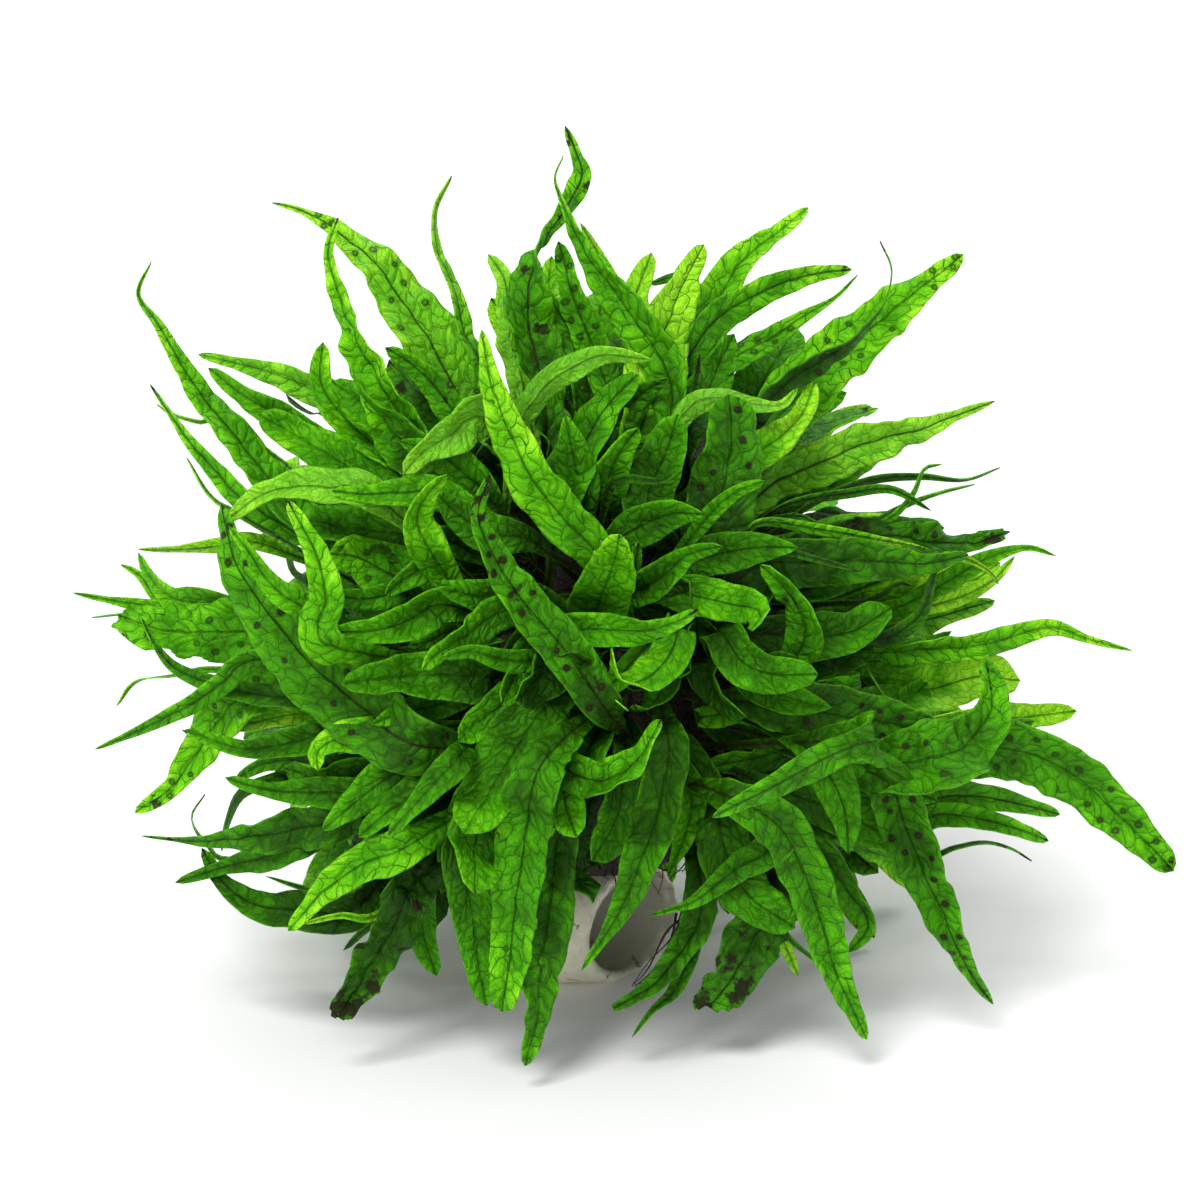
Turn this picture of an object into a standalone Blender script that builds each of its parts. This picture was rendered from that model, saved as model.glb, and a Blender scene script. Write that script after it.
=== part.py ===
"""A clump of java fern grown over a short cut tube.

The root mat sits astride the tube, eight creeping stems lie on the mat, and more than 200 fronds
stand out in all directions: the main ones are pieces of their own, the others are one piece with
the stem that they grow from. Lengths in this file are in millimetres and become metres where a mesh
is made. The tube lies along X, its flat underside is on the plane Z = 0 at the origin, and the front
of the clump faces -Y.

The front of the clump is described as it is seen: a frond's points are given across and up in the
picture plane, with a depth towards the viewer, and are then put in space. Each frond is moved a
little until it is clear of those placed before it. The fronds of the back are placed by rule.
"""
import math
from typing import NamedTuple

import bmesh
import bpy
import numpy as np
from mathutils import Vector
from mathutils.bvhtree import BVHTree

METRES = 0.001
SHARP_ANGLE = math.radians(40.0)

# The holder: a cut length of tube with slanted ends and a narrow flat underneath
TUBE_RADIUS = 18.5
TUBE_WALL = 3.8
TUBE_FLAT_DEPTH = 1.5
TUBE_RIGHT_END = 21.0
TUBE_RIGHT_SLANT = 0.73
TUBE_LEFT_END = -24.0
TUBE_LEFT_SLANT = -0.6
TUBE_SIDES = 24
TUBE_AXIS_HEIGHT = TUBE_RADIUS - TUBE_FLAT_DEPTH

# The way through the tube and out of both ends, which no frond crosses
WAY_HALF_LENGTH = 56.0
WAY_HALF_WIDTH = 11.5

# The root mat: a lumpy ovoid astride the tube
MAT_CENTRE = Vector((12.0, 0.0, 90.0))
MAT_RADII = Vector((42.0, 38.0, 58.0))
MAT_SUBDIVISIONS = 3
MAT_LUMP = 2.6
MAT_LUMP_SHARES = (1.0, 0.6, 0.5)
MAT_TUBE_GAP = 0.65
SEAT_LENGTH = 200.0

# A ray cast at the mat starts this far out
RAY_START = 200.0

# The creeping stems
STEM_NAMES = ("creeping_stem_front", "creeping_stem_front_right", "creeping_stem_right",
              "creeping_stem_back_right", "creeping_stem_back", "creeping_stem_back_left",
              "creeping_stem_left", "creeping_stem_front_left")
STEM_RADIUS = 3.5
STEM_END_RADIUS = 2.4
STEM_RINGS = 16
STEM_SIDES = 5
STEM_CLEARANCE = 1.2
STEM_FIRST_ANGLE = 24.0
STEM_LAST_ANGLE = 120.0
STEM_SPIRAL = 30.0
STEM_WAVE = 9.0
STEM_WAVE_TURN = 5.0
STEM_KNOBS = 0.1
STEM_KNOB_TURN = 2.4
STEM_FACE_OUT = 0.1

# How finely a frond's curve is followed before its stations are chosen
CURVE_STEPS = 8

# The picture plane in which the fronds are described
VIEW_TILT = math.radians(16.0)
VIEW_DISTANCE = 1200.0
PICTURE_CENTRE = (10.5, 102.3)
AIM = Vector((10.5, 0.0, 120.0))
RIGHT = Vector((1.0, 0.0, 0.0))
UP = Vector((0.0, math.sin(VIEW_TILT), math.cos(VIEW_TILT)))
TOWARD = Vector((0.0, -math.cos(VIEW_TILT), math.sin(VIEW_TILT)))

# The fronds
STALK_WIDTH = 2.2
KEEL = 0.9
WIDEST = 0.42
RISE_BEND = 0.9
MAIN_SPAN = 15.0
SMALL_SPAN = 26.0
FIRST_STEP = 6.0
BASE_GAP = 0.8
HEAD_ON = 0.25
HEAD_ON_SHIFT = 0.3
BASE_SPACING = 3.0
STALK_SHARE = 0.55
LONGEST_STALK = 0.7
LEAD_INS = (26.0, 0.0, 12.0)
FACE_TRIALS = 8
FACE_REACH = 30.0
CLEARANCE = 0.5
CLEARANCE_DEPTH = 0.4
GROUND_GAP = 0.15
LOWEST_LINE = KEEL + GROUND_GAP

# Where a frond is tried when its place is taken: depth, turn in the picture and shift of its base
DEPTH_TRIALS = (0.0, -3.0, 3.0, -6.0, 6.0, -10.0, -14.0, -19.0, -25.0)
TURN_TRIALS = (0.0, 1.5, -1.5, 3.0, -3.0, 5.0, -5.0)
BASE_TRIALS = 4
ORDER_TRIALS = 10
BASE_SHIFT = 0.32
BASE_DEPTH_SHARE = 0.4
TURN_CENTRE = (12.0, 75.0)

# The fronds of the back, which the picture doesn't show
BACK_COUNT = 76
BACK_TOP = 0.96
BACK_BOTTOM = -0.66
BACK_FORWARD = 0.1
BACK_LENGTH = 112.0
BACK_SAG = 0.3
BACK_STEEP_SAG = 0.5
BACK_INNER_SHARE = 0.25
BACK_MIDDLE_SHARE = 0.62
BACK_INNER_BEND = 0.4
BACK_MIDDLE_SAG = 0.3
BACK_LIFT = 0.25
BACK_BENDS = (11.0, -9.0, 4.0, -14.0)
OUTLINE_CENTRE = (12.0, 88.0)
OUTLINE_RADII = (112.0, 116.0)
OUTLINE_STEPS = 17
BACK_WIDTHS = (15.0, 11.0, 17.0, 9.0, 13.0)
BACK_ROLLS = (22.0, 13.0, 4.0, -5.0, -14.0, -23.0)
BACK_POINTS = (0.6, 0.9, 1.2, 1.5)
BACK_LENGTH_SHARES = (1.0, 0.8, 0.92, 0.66)
BACK_TRIALS = 14
BACK_TRIALS_OF_A_LENGTH = 4
BACK_WANDER = 0.035
SHORTEST_SHARE = 0.2
GOLDEN_ANGLE = math.pi * (3.0 - math.sqrt(5.0))
SEED = 7

# Colours of the solids, each with its roughness
CERAMIC = ((0.58, 0.54, 0.46), 0.6)
ROOT = ((0.035, 0.02, 0.018), 0.9)
SMALL_FROND = ((0.05, 0.24, 0.015), 0.5)
MAIN_FROND = ((0.1, 0.4, 0.02), 0.45)


class Frond(NamedTuple):
    """One frond: widest width, depth of its inner end and its tip, and its points in the picture.

    The width is the one that is seen; roll turns the blade about its length, in degrees. A point
    above 1 gives a long drawn-out tip, below 1 a blunt one.
    """
    name: str
    width: float
    inner: float
    outer: float
    path: tuple
    roll: float = 0.0
    point: float = 1.0


# The fronds that stand out, each a piece of its own, clockwise from the upper left
MAIN_FRONDS = (
    Frond("frond_left_curled_tip", 12.5, 24, 12,
          ((-72, 122), (-85, 134), (-97, 149), (-112, 168), (-122, 185), (-128, 194), (-124, 204)), 28, 1.3),
    Frond("frond_upper_left_pale", 9.5, 8, -6, ((-60, 157), (-75, 165), (-90, 171), (-110, 176)), -22),
    Frond("frond_upper_left_broad", 18.5, 6, 2,
          ((-22, 142), (-33, 166), (-47, 190), (-57, 203), (-68, 213), (-79, 219), (-88, 221.5)), 24, 1.5),
    Frond("frond_upper_left_curled", 13.5, 24, 14,
          ((-38, 138), (-51, 160), (-61, 177), (-67, 192), (-71, 206), (-68, 217)), -26, 0.9),
    Frond("frond_top_left_strand", 5.5, 4, -6,
          ((-24, 170), (-30, 184), (-33, 195), (-38, 207), (-39, 219), (-34, 229.5)), 38, 1.1),
    Frond("frond_top_twisted", 14.0, 14, -6,
          ((-4, 148), (-8, 170), (-11, 188), (-9, 206), (-1, 218), (5, 229), (0, 244.5)), 34, 0.8),
    Frond("frond_top_leaning", 11.5, 26, 10,
          ((32, 160), (27, 177), (18, 190), (9, 202), (2, 215), (-3, 229), (-0.5, 235.5)), -30, 1.8),
    Frond("frond_top_bright", 13.5, 20, 8, ((25, 160), (28, 178), (34, 193), (41.5, 209)), 26, 0.9),
    Frond("frond_top_right_spoon", 13.0, -2, -18,
          ((34, 165), (44, 189), (53, 204), (63, 212), (73, 220)), -22, 1.0),
    Frond("frond_upper_right_blunt", 9.5, 8, -8,
          ((33, 166), (42, 183), (54, 192), (70, 199), (86, 201.5)), 20, 0.6),
    Frond("frond_upper_right_tailed", 8.5, 4, -10,
          ((35, 160), (46, 171), (60, 180), (71, 187), (81, 193), (88, 200)), -28, 1.8),
    Frond("frond_upper_right_thin_dark", 6.5, 24, 12,
          ((55, 155), (70, 170), (86, 180), (95, 190), (98, 201), (94.5, 210)), 34, 1.7),
    Frond("frond_upper_right_broad", 19.0, 14, -4,
          ((56, 147), (70, 164), (86, 179), (102, 192), (119.5, 206)), -20, 0.9),
    Frond("frond_right_bright_long", 13.0, 10, -6,
          ((58, 133), (73, 142), (90, 149), (107, 154), (129, 162)), 24, 1.3),
    Frond("frond_right_crumpled", 11.5, 26, 12,
          ((72, 117), (90, 121), (105, 120.5), (120, 119), (135.5, 123.5)), -24, 0.7),
    Frond("frond_right_net_dark", 14.0, 38, 22,
          ((55, 111), (75, 113.5), (93, 114), (108, 113), (121, 116)), 18, 1.0),
    Frond("frond_right_middle", 9.5, 4, -8, ((92, 88), (105, 95), (116, 98.5), (129, 102)), -22, 0.8),
    Frond("frond_right_wavy_thin", 6.0, 10, -4,
          ((100, 87), (118, 87.5), (133, 91), (146, 94), (157, 90.5), (170.5, 87)), 30, 1.4),
    Frond("frond_right_upright", 11.5, 46, 36, ((108, 57), (121, 62), (128, 73), (126, 87.5)), -16, 1.0),
    Frond("frond_right_spotted", 17.0, 50, 26, ((62, 71), (80, 68), (98, 65), (125, 59)), 12, 0.7),
    Frond("frond_centre_right_torn", 13.0, 40, 54, ((88, 75), (74, 71.5), (58, 69.5), (36, 66.5)), -10, 0.6),
    Frond("frond_centre_right_blunt", 13.5, 46, 62, ((82, 68), (70, 64), (57, 58.5), (43.5, 54)), 0, 0.6),
    Frond("frond_far_right_drooping", 18.5, 22, 8,
          ((104, 52), (120, 57.5), (137, 57), (153, 49), (168, 36), (182.5, 21)), 22, 0.5),
    Frond("frond_lower_right_upper", 9.5, 22, 8, ((98, 41), (114, 43.5), (130, 42.5), (148.5, 38)), 24, 0.7),
    Frond("frond_lower_right_lower", 7.5, 26, 14, ((95, 36), (112, 38), (128, 36), (145, 30)), -20, 0.45),
    Frond("frond_lower_right_long", 14.5, 40, 16,
          ((93, 50), (101, 37), (108, 20), (116, 2), (122, -10), (128.5, -19)), 18, 1.1),
    Frond("frond_lower_front_right", 14.0, 62, 40,
          ((52, 42), (65, 33), (74, 15), (80, -5), (86, -20), (90.5, -29.5)), -16, 0.8),
    Frond("frond_lower_right_crossing", 10.5, 72, 80, ((92, 60), (78, 52), (64, 45), (44, 37)), 14, 0.7),
    Frond("frond_tube_crossing", 9.5, 54, 62, ((64, 32), (52, 22), (40, 12.5), (25, 7.5)), 12, 1.3),
    Frond("frond_front_damaged", 20.0, 46, 44, ((62, 18), (59, 4), (51, -9), (40, -26)), -12, 0.4),
    Frond("frond_front_small_dark", 9.5, 50, 46, ((41, 16), (37, 0), (28, -12), (13, -21)), 20, 0.8),
    Frond("frond_tube_hanging", 13.0, 66, 70, ((31, 60), (29, 44), (24, 27), (16, 8), (5, -8.7)), 14, 1.2),
    Frond("frond_centre_smile", 11.0, 62, 92,
          ((-4, 62), (0, 52), (11, 48), (21, 53.5), (29, 66.5)), 10, 0.5),
    Frond("frond_centre_short_broad", 17.0, 52, 92, ((8, 96), (11, 104), (14.5, 113), (16.5, 122)), 0, 0.6),
    Frond("frond_upper_centre_dark", 20.0, 40, 44, ((44, 124), (48, 138), (50, 150), (49, 164)), 14, 0.45),
    Frond("frond_upper_centre_broad", 14.0, 46, 48, ((0, 136), (6, 150), (13, 161), (22, 170)), -16, 0.8),
    Frond("frond_front_tall_bright", 14.0, 54, 62,
          ((9, 117), (0, 126), (-10, 139), (-17, 153), (-22, 167), (-25, 183.5)), -14, 0.9),
    Frond("frond_front_spotted", 13.0, 70, 82,
          ((12, 70), (1, 86), (-10, 99), (-20, 113), (-26, 127), (-22.5, 140)), 12, 1.0),
    Frond("frond_front_left_large", 22.0, 62, 44,
          ((-42, 58), (-57, 67), (-74, 81), (-88, 97), (-99, 114), (-103, 131)), -16, 0.8),
    Frond("frond_front_left_midrib", 11.0, 72, 62, ((-70, 84), (-73, 98), (-76, 110), (-86, 127)), 16, 0.7),
    Frond("frond_left_thin_tip", 6.5, 24, 14,
          ((-90, 128), (-103, 139), (-112, 149), (-119, 159), (-124.5, 167)), -24, 1.2),
    Frond("frond_far_left_broad", 19.0, 26, 10,
          ((-76, 94), (-94, 93), (-112, 92.5), (-126, 95), (-137, 99)), 22, 0.4),
    Frond("frond_left_dark_curve", 6.5, 38, 26,
          ((-76, 72), (-92, 74), (-106, 77), (-117, 82), (-123, 89), (-127, 97)), 26, 1.0),
    Frond("frond_left_lower_long", 6.5, 42, 28,
          ((-88, 85), (-102, 78), (-113, 70.5), (-126, 64), (-141, 57.5)), -24, 0.9),
    Frond("frond_left_lower_bright", 11.5, 30, 16,
          ((-94, 74), (-103, 67), (-111, 56), (-118, 46), (-129, 38.5)), 20, 1.1),
    Frond("frond_left_low_horizontal", 12.0, 44, 26,
          ((-66, 37), (-80, 34), (-95, 31), (-110, 30), (-127, 31.5)), -20, 1.8),
    Frond("frond_left_low_bright", 11.5, 60, 50, ((-48, 28), (-60, 23.5), (-71, 16), (-83, 3)), 16, 0.7),
    Frond("frond_left_low_crumpled", 11.0, 54, 48, ((-44, 18), (-51, 5), (-58, -7), (-70, -26)), -18, 0.4),
    Frond("frond_front_low_bright", 12.0, 80, 62,
          ((-5, 56), (-11, 37), (-14, 17), (-16, 0), (-19, -22)), 12, 0.45),
    Frond("frond_front_low_dark", 8.5, 62, 58,
          ((1, 46), (-3, 24), (-5, 5), (-8, -14), (-9, -26), (-12, -37.5)), -20, 0.8),
)

# The smaller and deeper fronds, which grow out of the creeping stems in one piece with them
SMALL_FRONDS = (
    Frond("right_thin_arched", 3.8, 8, 0,
          ((100, 100), (114, 107.5), (125, 114), (138, 118), (147.5, 115.5)), 0, 1.4),
    Frond("centre_tailed", 8.0, 60, 86, ((22, 105), (29, 109), (37, 116), (47, 118.5)), 0, 1.6),
    Frond("right_dark_tail", 4.5, 12, 0,
          ((76, 131), (92, 137), (107, 138.5), (120, 138), (130.5, 142)), 10, 1.8),
    Frond("fold_under_curled", 8.0, 22, 14, ((-48, 148), (-60, 159), (-68, 171), (-67, 184)), 20, 0.8),
    Frond("brown_patched", 7.5, 14, 8, ((-28, 152), (-38, 165), (-46, 173), (-54, 178)), 0, 0.8),
    Frond("hooked_pale", 8.0, 0, -16, ((-12, 165), (-16, 184), (-18, 198), (-23, 206)), 0, 0.9),
    Frond("behind_top", 6.5, -6, -20, ((22, 180), (15, 195), (4.5, 215.5)), 0, 1.0),
    Frond("top_spotted_small", 8.5, 10, -2, ((14, 163), (7, 182), (2, 195), (-2, 210)), 0, 0.9),
    Frond("top_pale_blunt", 7.0, -10, -24, ((-3, 175), (-5, 190), (-4, 205.5)), 0, 0.5),
    Frond("top_small_bright", 8.5, 0, -14, ((23, 175), (21, 192), (26, 206.5)), 0, 0.8),
    Frond("top_dark_behind", 7.5, -10, -24, ((44, 184), (35, 198), (25, 197)), 0, 0.7),
    Frond("top_right_behind", 5.0, -14, -26, ((35, 186), (42, 198), (49, 197)), 0, 1.0),
    Frond("right_of_bright", 6.5, 14, 2, ((30, 165), (36, 182), (42, 198)), 0, 0.8),
    Frond("upper_centre_lying", 6.5, 50, 60,
          ((-13, 150), (-8, 161), (0, 169), (12, 174.5), (26, 174.5)), 20, 0.8),
    Frond("upper_right_bright_tip", 9.0, 30, 18, ((52, 143), (63, 150), (71, 158), (75, 168)), 0, 0.8),
    Frond("upper_curl", 5.5, 40, 26, ((36, 160), (46, 164), (57, 161.5), (65, 161), (70, 166)), 15, 1.3),
    Frond("upper_dark_fill", 12.0, 30, 20, ((30, 150), (36, 162), (40, 172), (45, 184)), 0, 0.8),
    Frond("upper_fill_left", 12.0, 30, 14, ((-32, 132), (-45, 146), (-57, 158), (-70, 168)), 0, 0.8),
    Frond("upper_fill_far_left", 12.0, 24, 8, ((-48, 128), (-62, 140), (-78, 150), (-92, 158)), 0, 0.8),
    Frond("upper_fill_narrow", 8.0, 14, 0, ((-70, 145), (-84, 156), (-97, 164), (-107, 172)), 0, 0.9),
    Frond("right_pale_leaf", 8.0, 6, -6, ((66, 122), (82, 127.5), (98, 127.5)), 0, 0.8),
    Frond("right_light_strap", 5.5, 40, 24, ((58, 124), (76, 122), (94, 119.5), (109.5, 117.5)), 15, 1.1),
    Frond("right_dark_strap", 4.5, 24, 12, ((68, 130), (85, 133), (98, 134.5), (110, 129)), 20, 0.7),
    Frond("right_curled_thin", 2.8, 16, 6,
          ((90, 122), (99, 127), (105, 134), (108, 141.5), (113, 143)), 0, 1.0),
    Frond("right_straight_thin", 2.6, 12, 2, ((92, 124), (101, 129.5), (112, 134), (123, 137)), 0, 1.0),
    Frond("right_thin_branch", 3.0, 8, -2, ((104, 99), (118, 103), (128, 108), (135, 115.5)), 0, 0.8),
    Frond("right_pale_triangle", 7.5, 2, -8, ((94, 102), (110, 105.5), (122, 108), (130.5, 113.5)), 0, 0.9),
    Frond("right_fine_tail", 1.8, 20, 8, ((110, 114), (119, 115), (127, 111), (130, 107)), 0, 0.9),
    Frond("right_dark_stem", 4.0, 22, 14,
          ((85, 90), (97, 91), (106, 97), (109, 104), (111.5, 113)), 30, 0.8),
    Frond("right_pale_behind", 9.5, 2, -10, ((96, 75), (110, 76), (124, 79), (136.5, 78)), 0, 0.6),
    Frond("right_bright_thin", 5.0, 10, 0, ((112, 64), (128, 66), (141, 67.5), (153.5, 69)), 0, 0.5),
    Frond("right_dark_torn", 12.0, 24, 12, ((78, 74), (92, 76), (102, 79), (108, 86)), 0, 0.5),
    Frond("right_dark_thin", 4.0, 34, 22, ((97, 72), (93, 79), (89, 87)), 20, 0.9),
    Frond("far_right_under", 5.0, 8, 4, ((112, 52), (126, 54), (131, 51)), 0, 0.8),
    Frond("far_right_dark_small", 6.0, 12, 4, ((118, 60), (130, 63), (141, 66)), 0, 0.8),
    Frond("right_knobbed", 2.8, 14, 8, ((104, 25), (117, 28.5), (126, 30), (134, 28), (140, 24)), 10, 0.5),
    Frond("right_low_hooked", 7.5, 34, 26, ((74, 30), (84, 16), (91, 5), (85, -3.5)), 10, 1.0),
    Frond("right_low_pale", 7.0, 22, 14, ((78, 31), (90, 26), (103, 24)), 0, 0.8),
    Frond("right_mid_dark", 12.0, 36, 26, ((58, 92), (72, 91), (86, 93), (98, 100)), 0, 0.7),
    Frond("right_mid_dark_low", 12.0, 34, 22, ((66, 80), (80, 80), (94, 82)), 0, 0.8),
    Frond("centre_low_pointed", 12.0, 62, 80, ((8, 60), (3, 50), (0, 42), (3.5, 31)), 12, 0.9),
    Frond("centre_low_twisted", 12.0, 54, 62, ((19, 58), (17, 45), (14, 33), (8, 24)), -20, 0.6),
    Frond("centre_low_left_broad", 15.0, 48, 50, ((0, 62), (-8, 48), (-11, 34), (-10, 18)), 10, 0.7),
    Frond("centre_right_behind", 13.0, 44, 50, ((44, 74), (52, 68), (60, 60), (66, 50)), -10, 0.7),
    Frond("low_strip", 3.2, 44, 36, ((58, 12), (66, 1), (72, -4), (78, -8)), 10, 0.8),
    Frond("low_bright_tip", 5.0, 42, 32, ((60, 14), (65, 1), (70, -10.5)), 0, 1.0),
    Frond("low_dark_vertical", 7.0, 44, 42, ((41, 22), (39, 6), (34, -13), (26, -21), (20, -29)), 10, 1.4),
    Frond("low_dark_wide", 13.0, 50, 46, ((46, 36), (50, 22), (57, 12), (69, 4)), 0, 0.6),
    Frond("centre_loop", 9.5, 66, 84, ((34, 94), (31, 85), (24, 78), (16, 79), (14, 88)), 10, 0.7),
    Frond("centre_horizontal", 8.0, 66, 84, ((-2, 93), (9, 93.5), (22, 93), (32, 95), (40, 99.5)), 0, 1.0),
    Frond("centre_pale_curl", 6.0, 56, 80, ((20, 102), (22, 110), (22, 120)), 0, 0.8),
    Frond("centre_right_curled_end", 10.0, 54, 76,
          ((25, 106), (37, 104), (50, 101), (58, 99), (56, 93)), 0, 0.6),
    Frond("centre_right_brown_tip", 9.0, 46, 54, ((71, 88), (71, 98), (66, 106), (58.5, 113)), 0, 0.9),
    Frond("centre_right_bent", 10.5, 54, 74, ((46, 93), (53, 84), (62, 80), (76, 80)), 0, 0.7),
    Frond("upper_curled_small", 4.0, 50, 64, ((41, 125), (46, 130.5), (52, 135), (60, 138)), 0, 0.6),
    Frond("upper_dark_left", 13.0, 46, 52, ((28, 122), (25, 134), (30, 146), (34, 158)), 0, 0.8),
    Frond("upper_inner_curl", 9.0, 44, 58, ((12, 132), (14, 142), (18, 149), (22, 154)), 0, 0.8),
    Frond("left_small_bright", 9.0, 60, 74, ((-41, 118), (-44, 126), (-41, 134), (-35.5, 140)), 0, 0.9),
    Frond("left_pale_flap", 11.0, 48, 60, ((-25, 157), (-34, 152), (-42, 147), (-48.5, 140)), 0, 0.9),
    Frond("left_front_narrow", 6.0, 66, 66, ((-80, 101), (-89, 108), (-95, 117), (-101, 124.5)), 0, 0.9),
    Frond("left_pale_lying", 8.5, 54, 44, ((-58, 134), (-71, 136), (-87, 135.5), (-102, 126)), 10, 1.0),
    Frond("left_lying_inner", 8.0, 56, 54, ((-38, 134), (-50, 134.5), (-60, 134), (-70, 135)), 0, 0.9),
    Frond("left_thin_curl", 1.8, 20, 14, ((-100, 154), (-110, 155.5), (-118, 158), (-122.5, 161)), 0, 0.8),
    Frond("left_small_strap", 3.6, 20, 10, ((-96, 128), (-106, 134), (-113.5, 145)), 20, 0.9),
    Frond("left_bright_wedge", 5.5, 14, 4, ((-92, 118), (-105, 117.5), (-117, 117), (-128, 117.5)), 0, 1.1),
    Frond("left_fork_upper", 5.0, 10, 2, ((-104, 100), (-118, 103), (-125, 110), (-128, 116.5)), 0, 0.9),
    Frond("left_fork_lower", 3.4, 10, 0, ((-106, 98), (-120, 102), (-128, 110), (-133.5, 113)), 0, 0.9),
    Frond("left_ragged_thread", 3.2, 12, 4,
          ((-112, 98), (-126, 100.5), (-138, 102.5), (-148, 104.5)), 0, 1.3),
    Frond("left_thread", 1.8, 14, 6, ((-115, 97), (-130, 98), (-142, 97)), 0, 0.9),
    Frond("left_thin_hook", 2.4, 34, 28, ((-104, 82), (-118, 80), (-129, 78), (-134.5, 70.5)), 0, 1.0),
    Frond("left_pale_strip", 3.6, 32, 26, ((-80, 68), (-92, 66), (-102, 63), (-113, 53.5)), 15, 0.9),
    Frond("left_low_frond", 7.5, 46, 38, ((-66, 64), (-80, 60), (-96, 57.5), (-114, 63.5)), 0, 1.5),
    Frond("left_low_torn", 8.0, 30, 22, ((-68, 69), (-80, 67), (-94, 67)), 0, 0.4),
    Frond("left_low_point", 8.0, 46, 36, ((-64, 44), (-78, 44.5), (-90, 45.5), (-102, 49)), 0, 1.0),
    Frond("left_low_dark_point", 6.5, 32, 22, ((-66, 52), (-80, 54), (-90, 53), (-99, 48.5)), 0, 0.9),
    Frond("left_low_upright", 6.0, 26, 16, ((-88, 50), (-98, 45), (-102, 36), (-103, 27)), 0, 0.8),
    Frond("left_low_hook", 2.6, 20, 12, ((-98, 24), (-108, 29), (-112.5, 37), (-108, 44)), 0, 1.0),
    Frond("left_low_tailed", 7.5, 46, 38, ((-76, 31), (-90, 25.5), (-103, 22), (-117, 17.5)), 0, 1.3),
    Frond("left_low_net", 10.0, 36, 28, ((-62, 10), (-80, 9), (-94, 11.5), (-103, 18), (-109, 28)), 5, 1.0),
    Frond("left_low_thin", 3.0, 30, 24, ((-62, 15), (-76, 15.5), (-90, 19.5)), 0, 0.9),
    Frond("left_low_strip", 3.8, 40, 34, ((-56, 9), (-68, 8), (-79, 5)), 0, 0.8),
    Frond("low_left_small", 7.0, 74, 70, ((-32, 53), (-40, 44), (-46, 37), (-52, 30)), 0, 0.9),
    Frond("low_left_hanging", 9.0, 60, 56, ((-42, 32), (-41, 16), (-39, 2), (-34, -13)), 0, 0.5),
    Frond("low_front_left", 10.0, 62, 56, ((-31, 28), (-28, 10), (-26, -6), (-23.5, -19.5)), 0, 0.7),
    Frond("low_front_panel", 9.0, 60, 60, ((-3, 26), (-3, 12), (-4, 0), (-5, -13)), 0, 0.4),
    Frond("low_front_broad", 16.0, 72, 90, ((-7, 69), (-15, 57), (-22, 46), (-30, 32)), 0, 0.5),
    Frond("low_front_second", 15.0, 66, 82, ((-22, 40), (-27, 28), (-27, 14)), 0, 0.4),
    Frond("left_centre_pointing", 8.5, 66, 86, ((-18, 99), (-28, 93), (-36, 88), (-43, 81.5)), 0, 1.0),
    Frond("left_centre_curl", 5.5, 70, 84, ((-10, 84), (-19, 84.5), (-28, 87), (-37, 85)), 0, 0.9),
    Frond("left_centre_bright", 9.0, 62, 74, ((-37, 101), (-47, 96), (-58, 93), (-70, 92.5)), 0, 0.9),
    Frond("left_centre_small", 8.0, 58, 72, ((-36, 120), (-43, 112), (-50, 107), (-54, 104)), 0, 0.8),
    Frond("left_centre_broad", 14.0, 50, 62, ((-40, 104), (-52, 110), (-62, 115), (-71, 116)), 0, 0.7),
    Frond("left_centre_low", 6.0, 54, 68, ((-48, 104), (-60, 102.5), (-72, 104)), 0, 0.9),
    Frond("left_centre_dark", 12.0, 54, 64, ((-22, 77), (-40, 77), (-54, 75.5), (-67, 73)), 0, 0.8),
    Frond("centre_left_pointing", 9.0, 62, 74, ((-16, 73), (-24, 67), (-32, 60)), 0, 0.7),
    Frond("centre_left_short", 8.5, 60, 76, ((-11, 86), (-15, 79), (-19, 71)), 0, 0.6),
    Frond("low_left_dark_narrow", 8.0, 58, 62, ((-42, 47), (-53, 39), (-62, 31)), 0, 0.8),
    Frond("low_left_bright_lump", 8.0, 60, 64, ((-58, 62), (-67, 61), (-74, 57), (-74, 51)), 0, 0.6),
    Frond("left_deep_fill", 13.0, 36, 36, ((-50, 122), (-64, 124), (-78, 126)), 0, 0.8),
    Frond("low_left_deep_fill", 12.0, 40, 38, ((-58, 50), (-70, 48), (-84, 52)), 0, 0.8),
)


def in_space(across, up, depth):
    """The point in space that is seen at a place in the picture, at a depth towards the viewer."""
    shrink = (VIEW_DISTANCE - depth) / VIEW_DISTANCE
    sideways = (across - PICTURE_CENTRE[0]) * shrink
    upwards = (up - PICTURE_CENTRE[1]) * shrink
    return AIM + RIGHT * sideways + UP * upwards + TOWARD * depth


def ground_depth(up):
    """The depth at which a place in the picture lies on the surface under the clump."""
    rise = up - PICTURE_CENTRE[1]
    height = LOWEST_LINE - AIM.z - UP.z * rise
    return height / (TOWARD.z - UP.z * rise / VIEW_DISTANCE)


def in_space_above_ground(across, up, depth):
    return in_space(across, up, max(depth, ground_depth(up)))


def smooth_curve(points):
    """Fine points on the smooth curve through the given points (Catmull-Rom), and its run."""
    known = np.array([tuple(point) for point in points])
    known = np.vstack((2 * known[0] - known[1], known, 2 * known[-1] - known[-2]))
    fine = []
    for start in range(len(known) - 3):
        before, first, second, after = known[start:start + 4]
        for t in np.arange(CURVE_STEPS) / CURVE_STEPS:
            fine.append(0.5 * (2 * first + (second - before) * t
                               + (2 * before - 5 * first + 4 * second - after) * t ** 2
                               + (3 * first - before - 3 * second + after) * t ** 3))
    fine.append(known[-2])
    fine = np.array(fine)
    run = np.concatenate(((0.0,), np.cumsum(np.linalg.norm(np.diff(fine, axis=0), axis=1))))
    return fine, run


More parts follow.
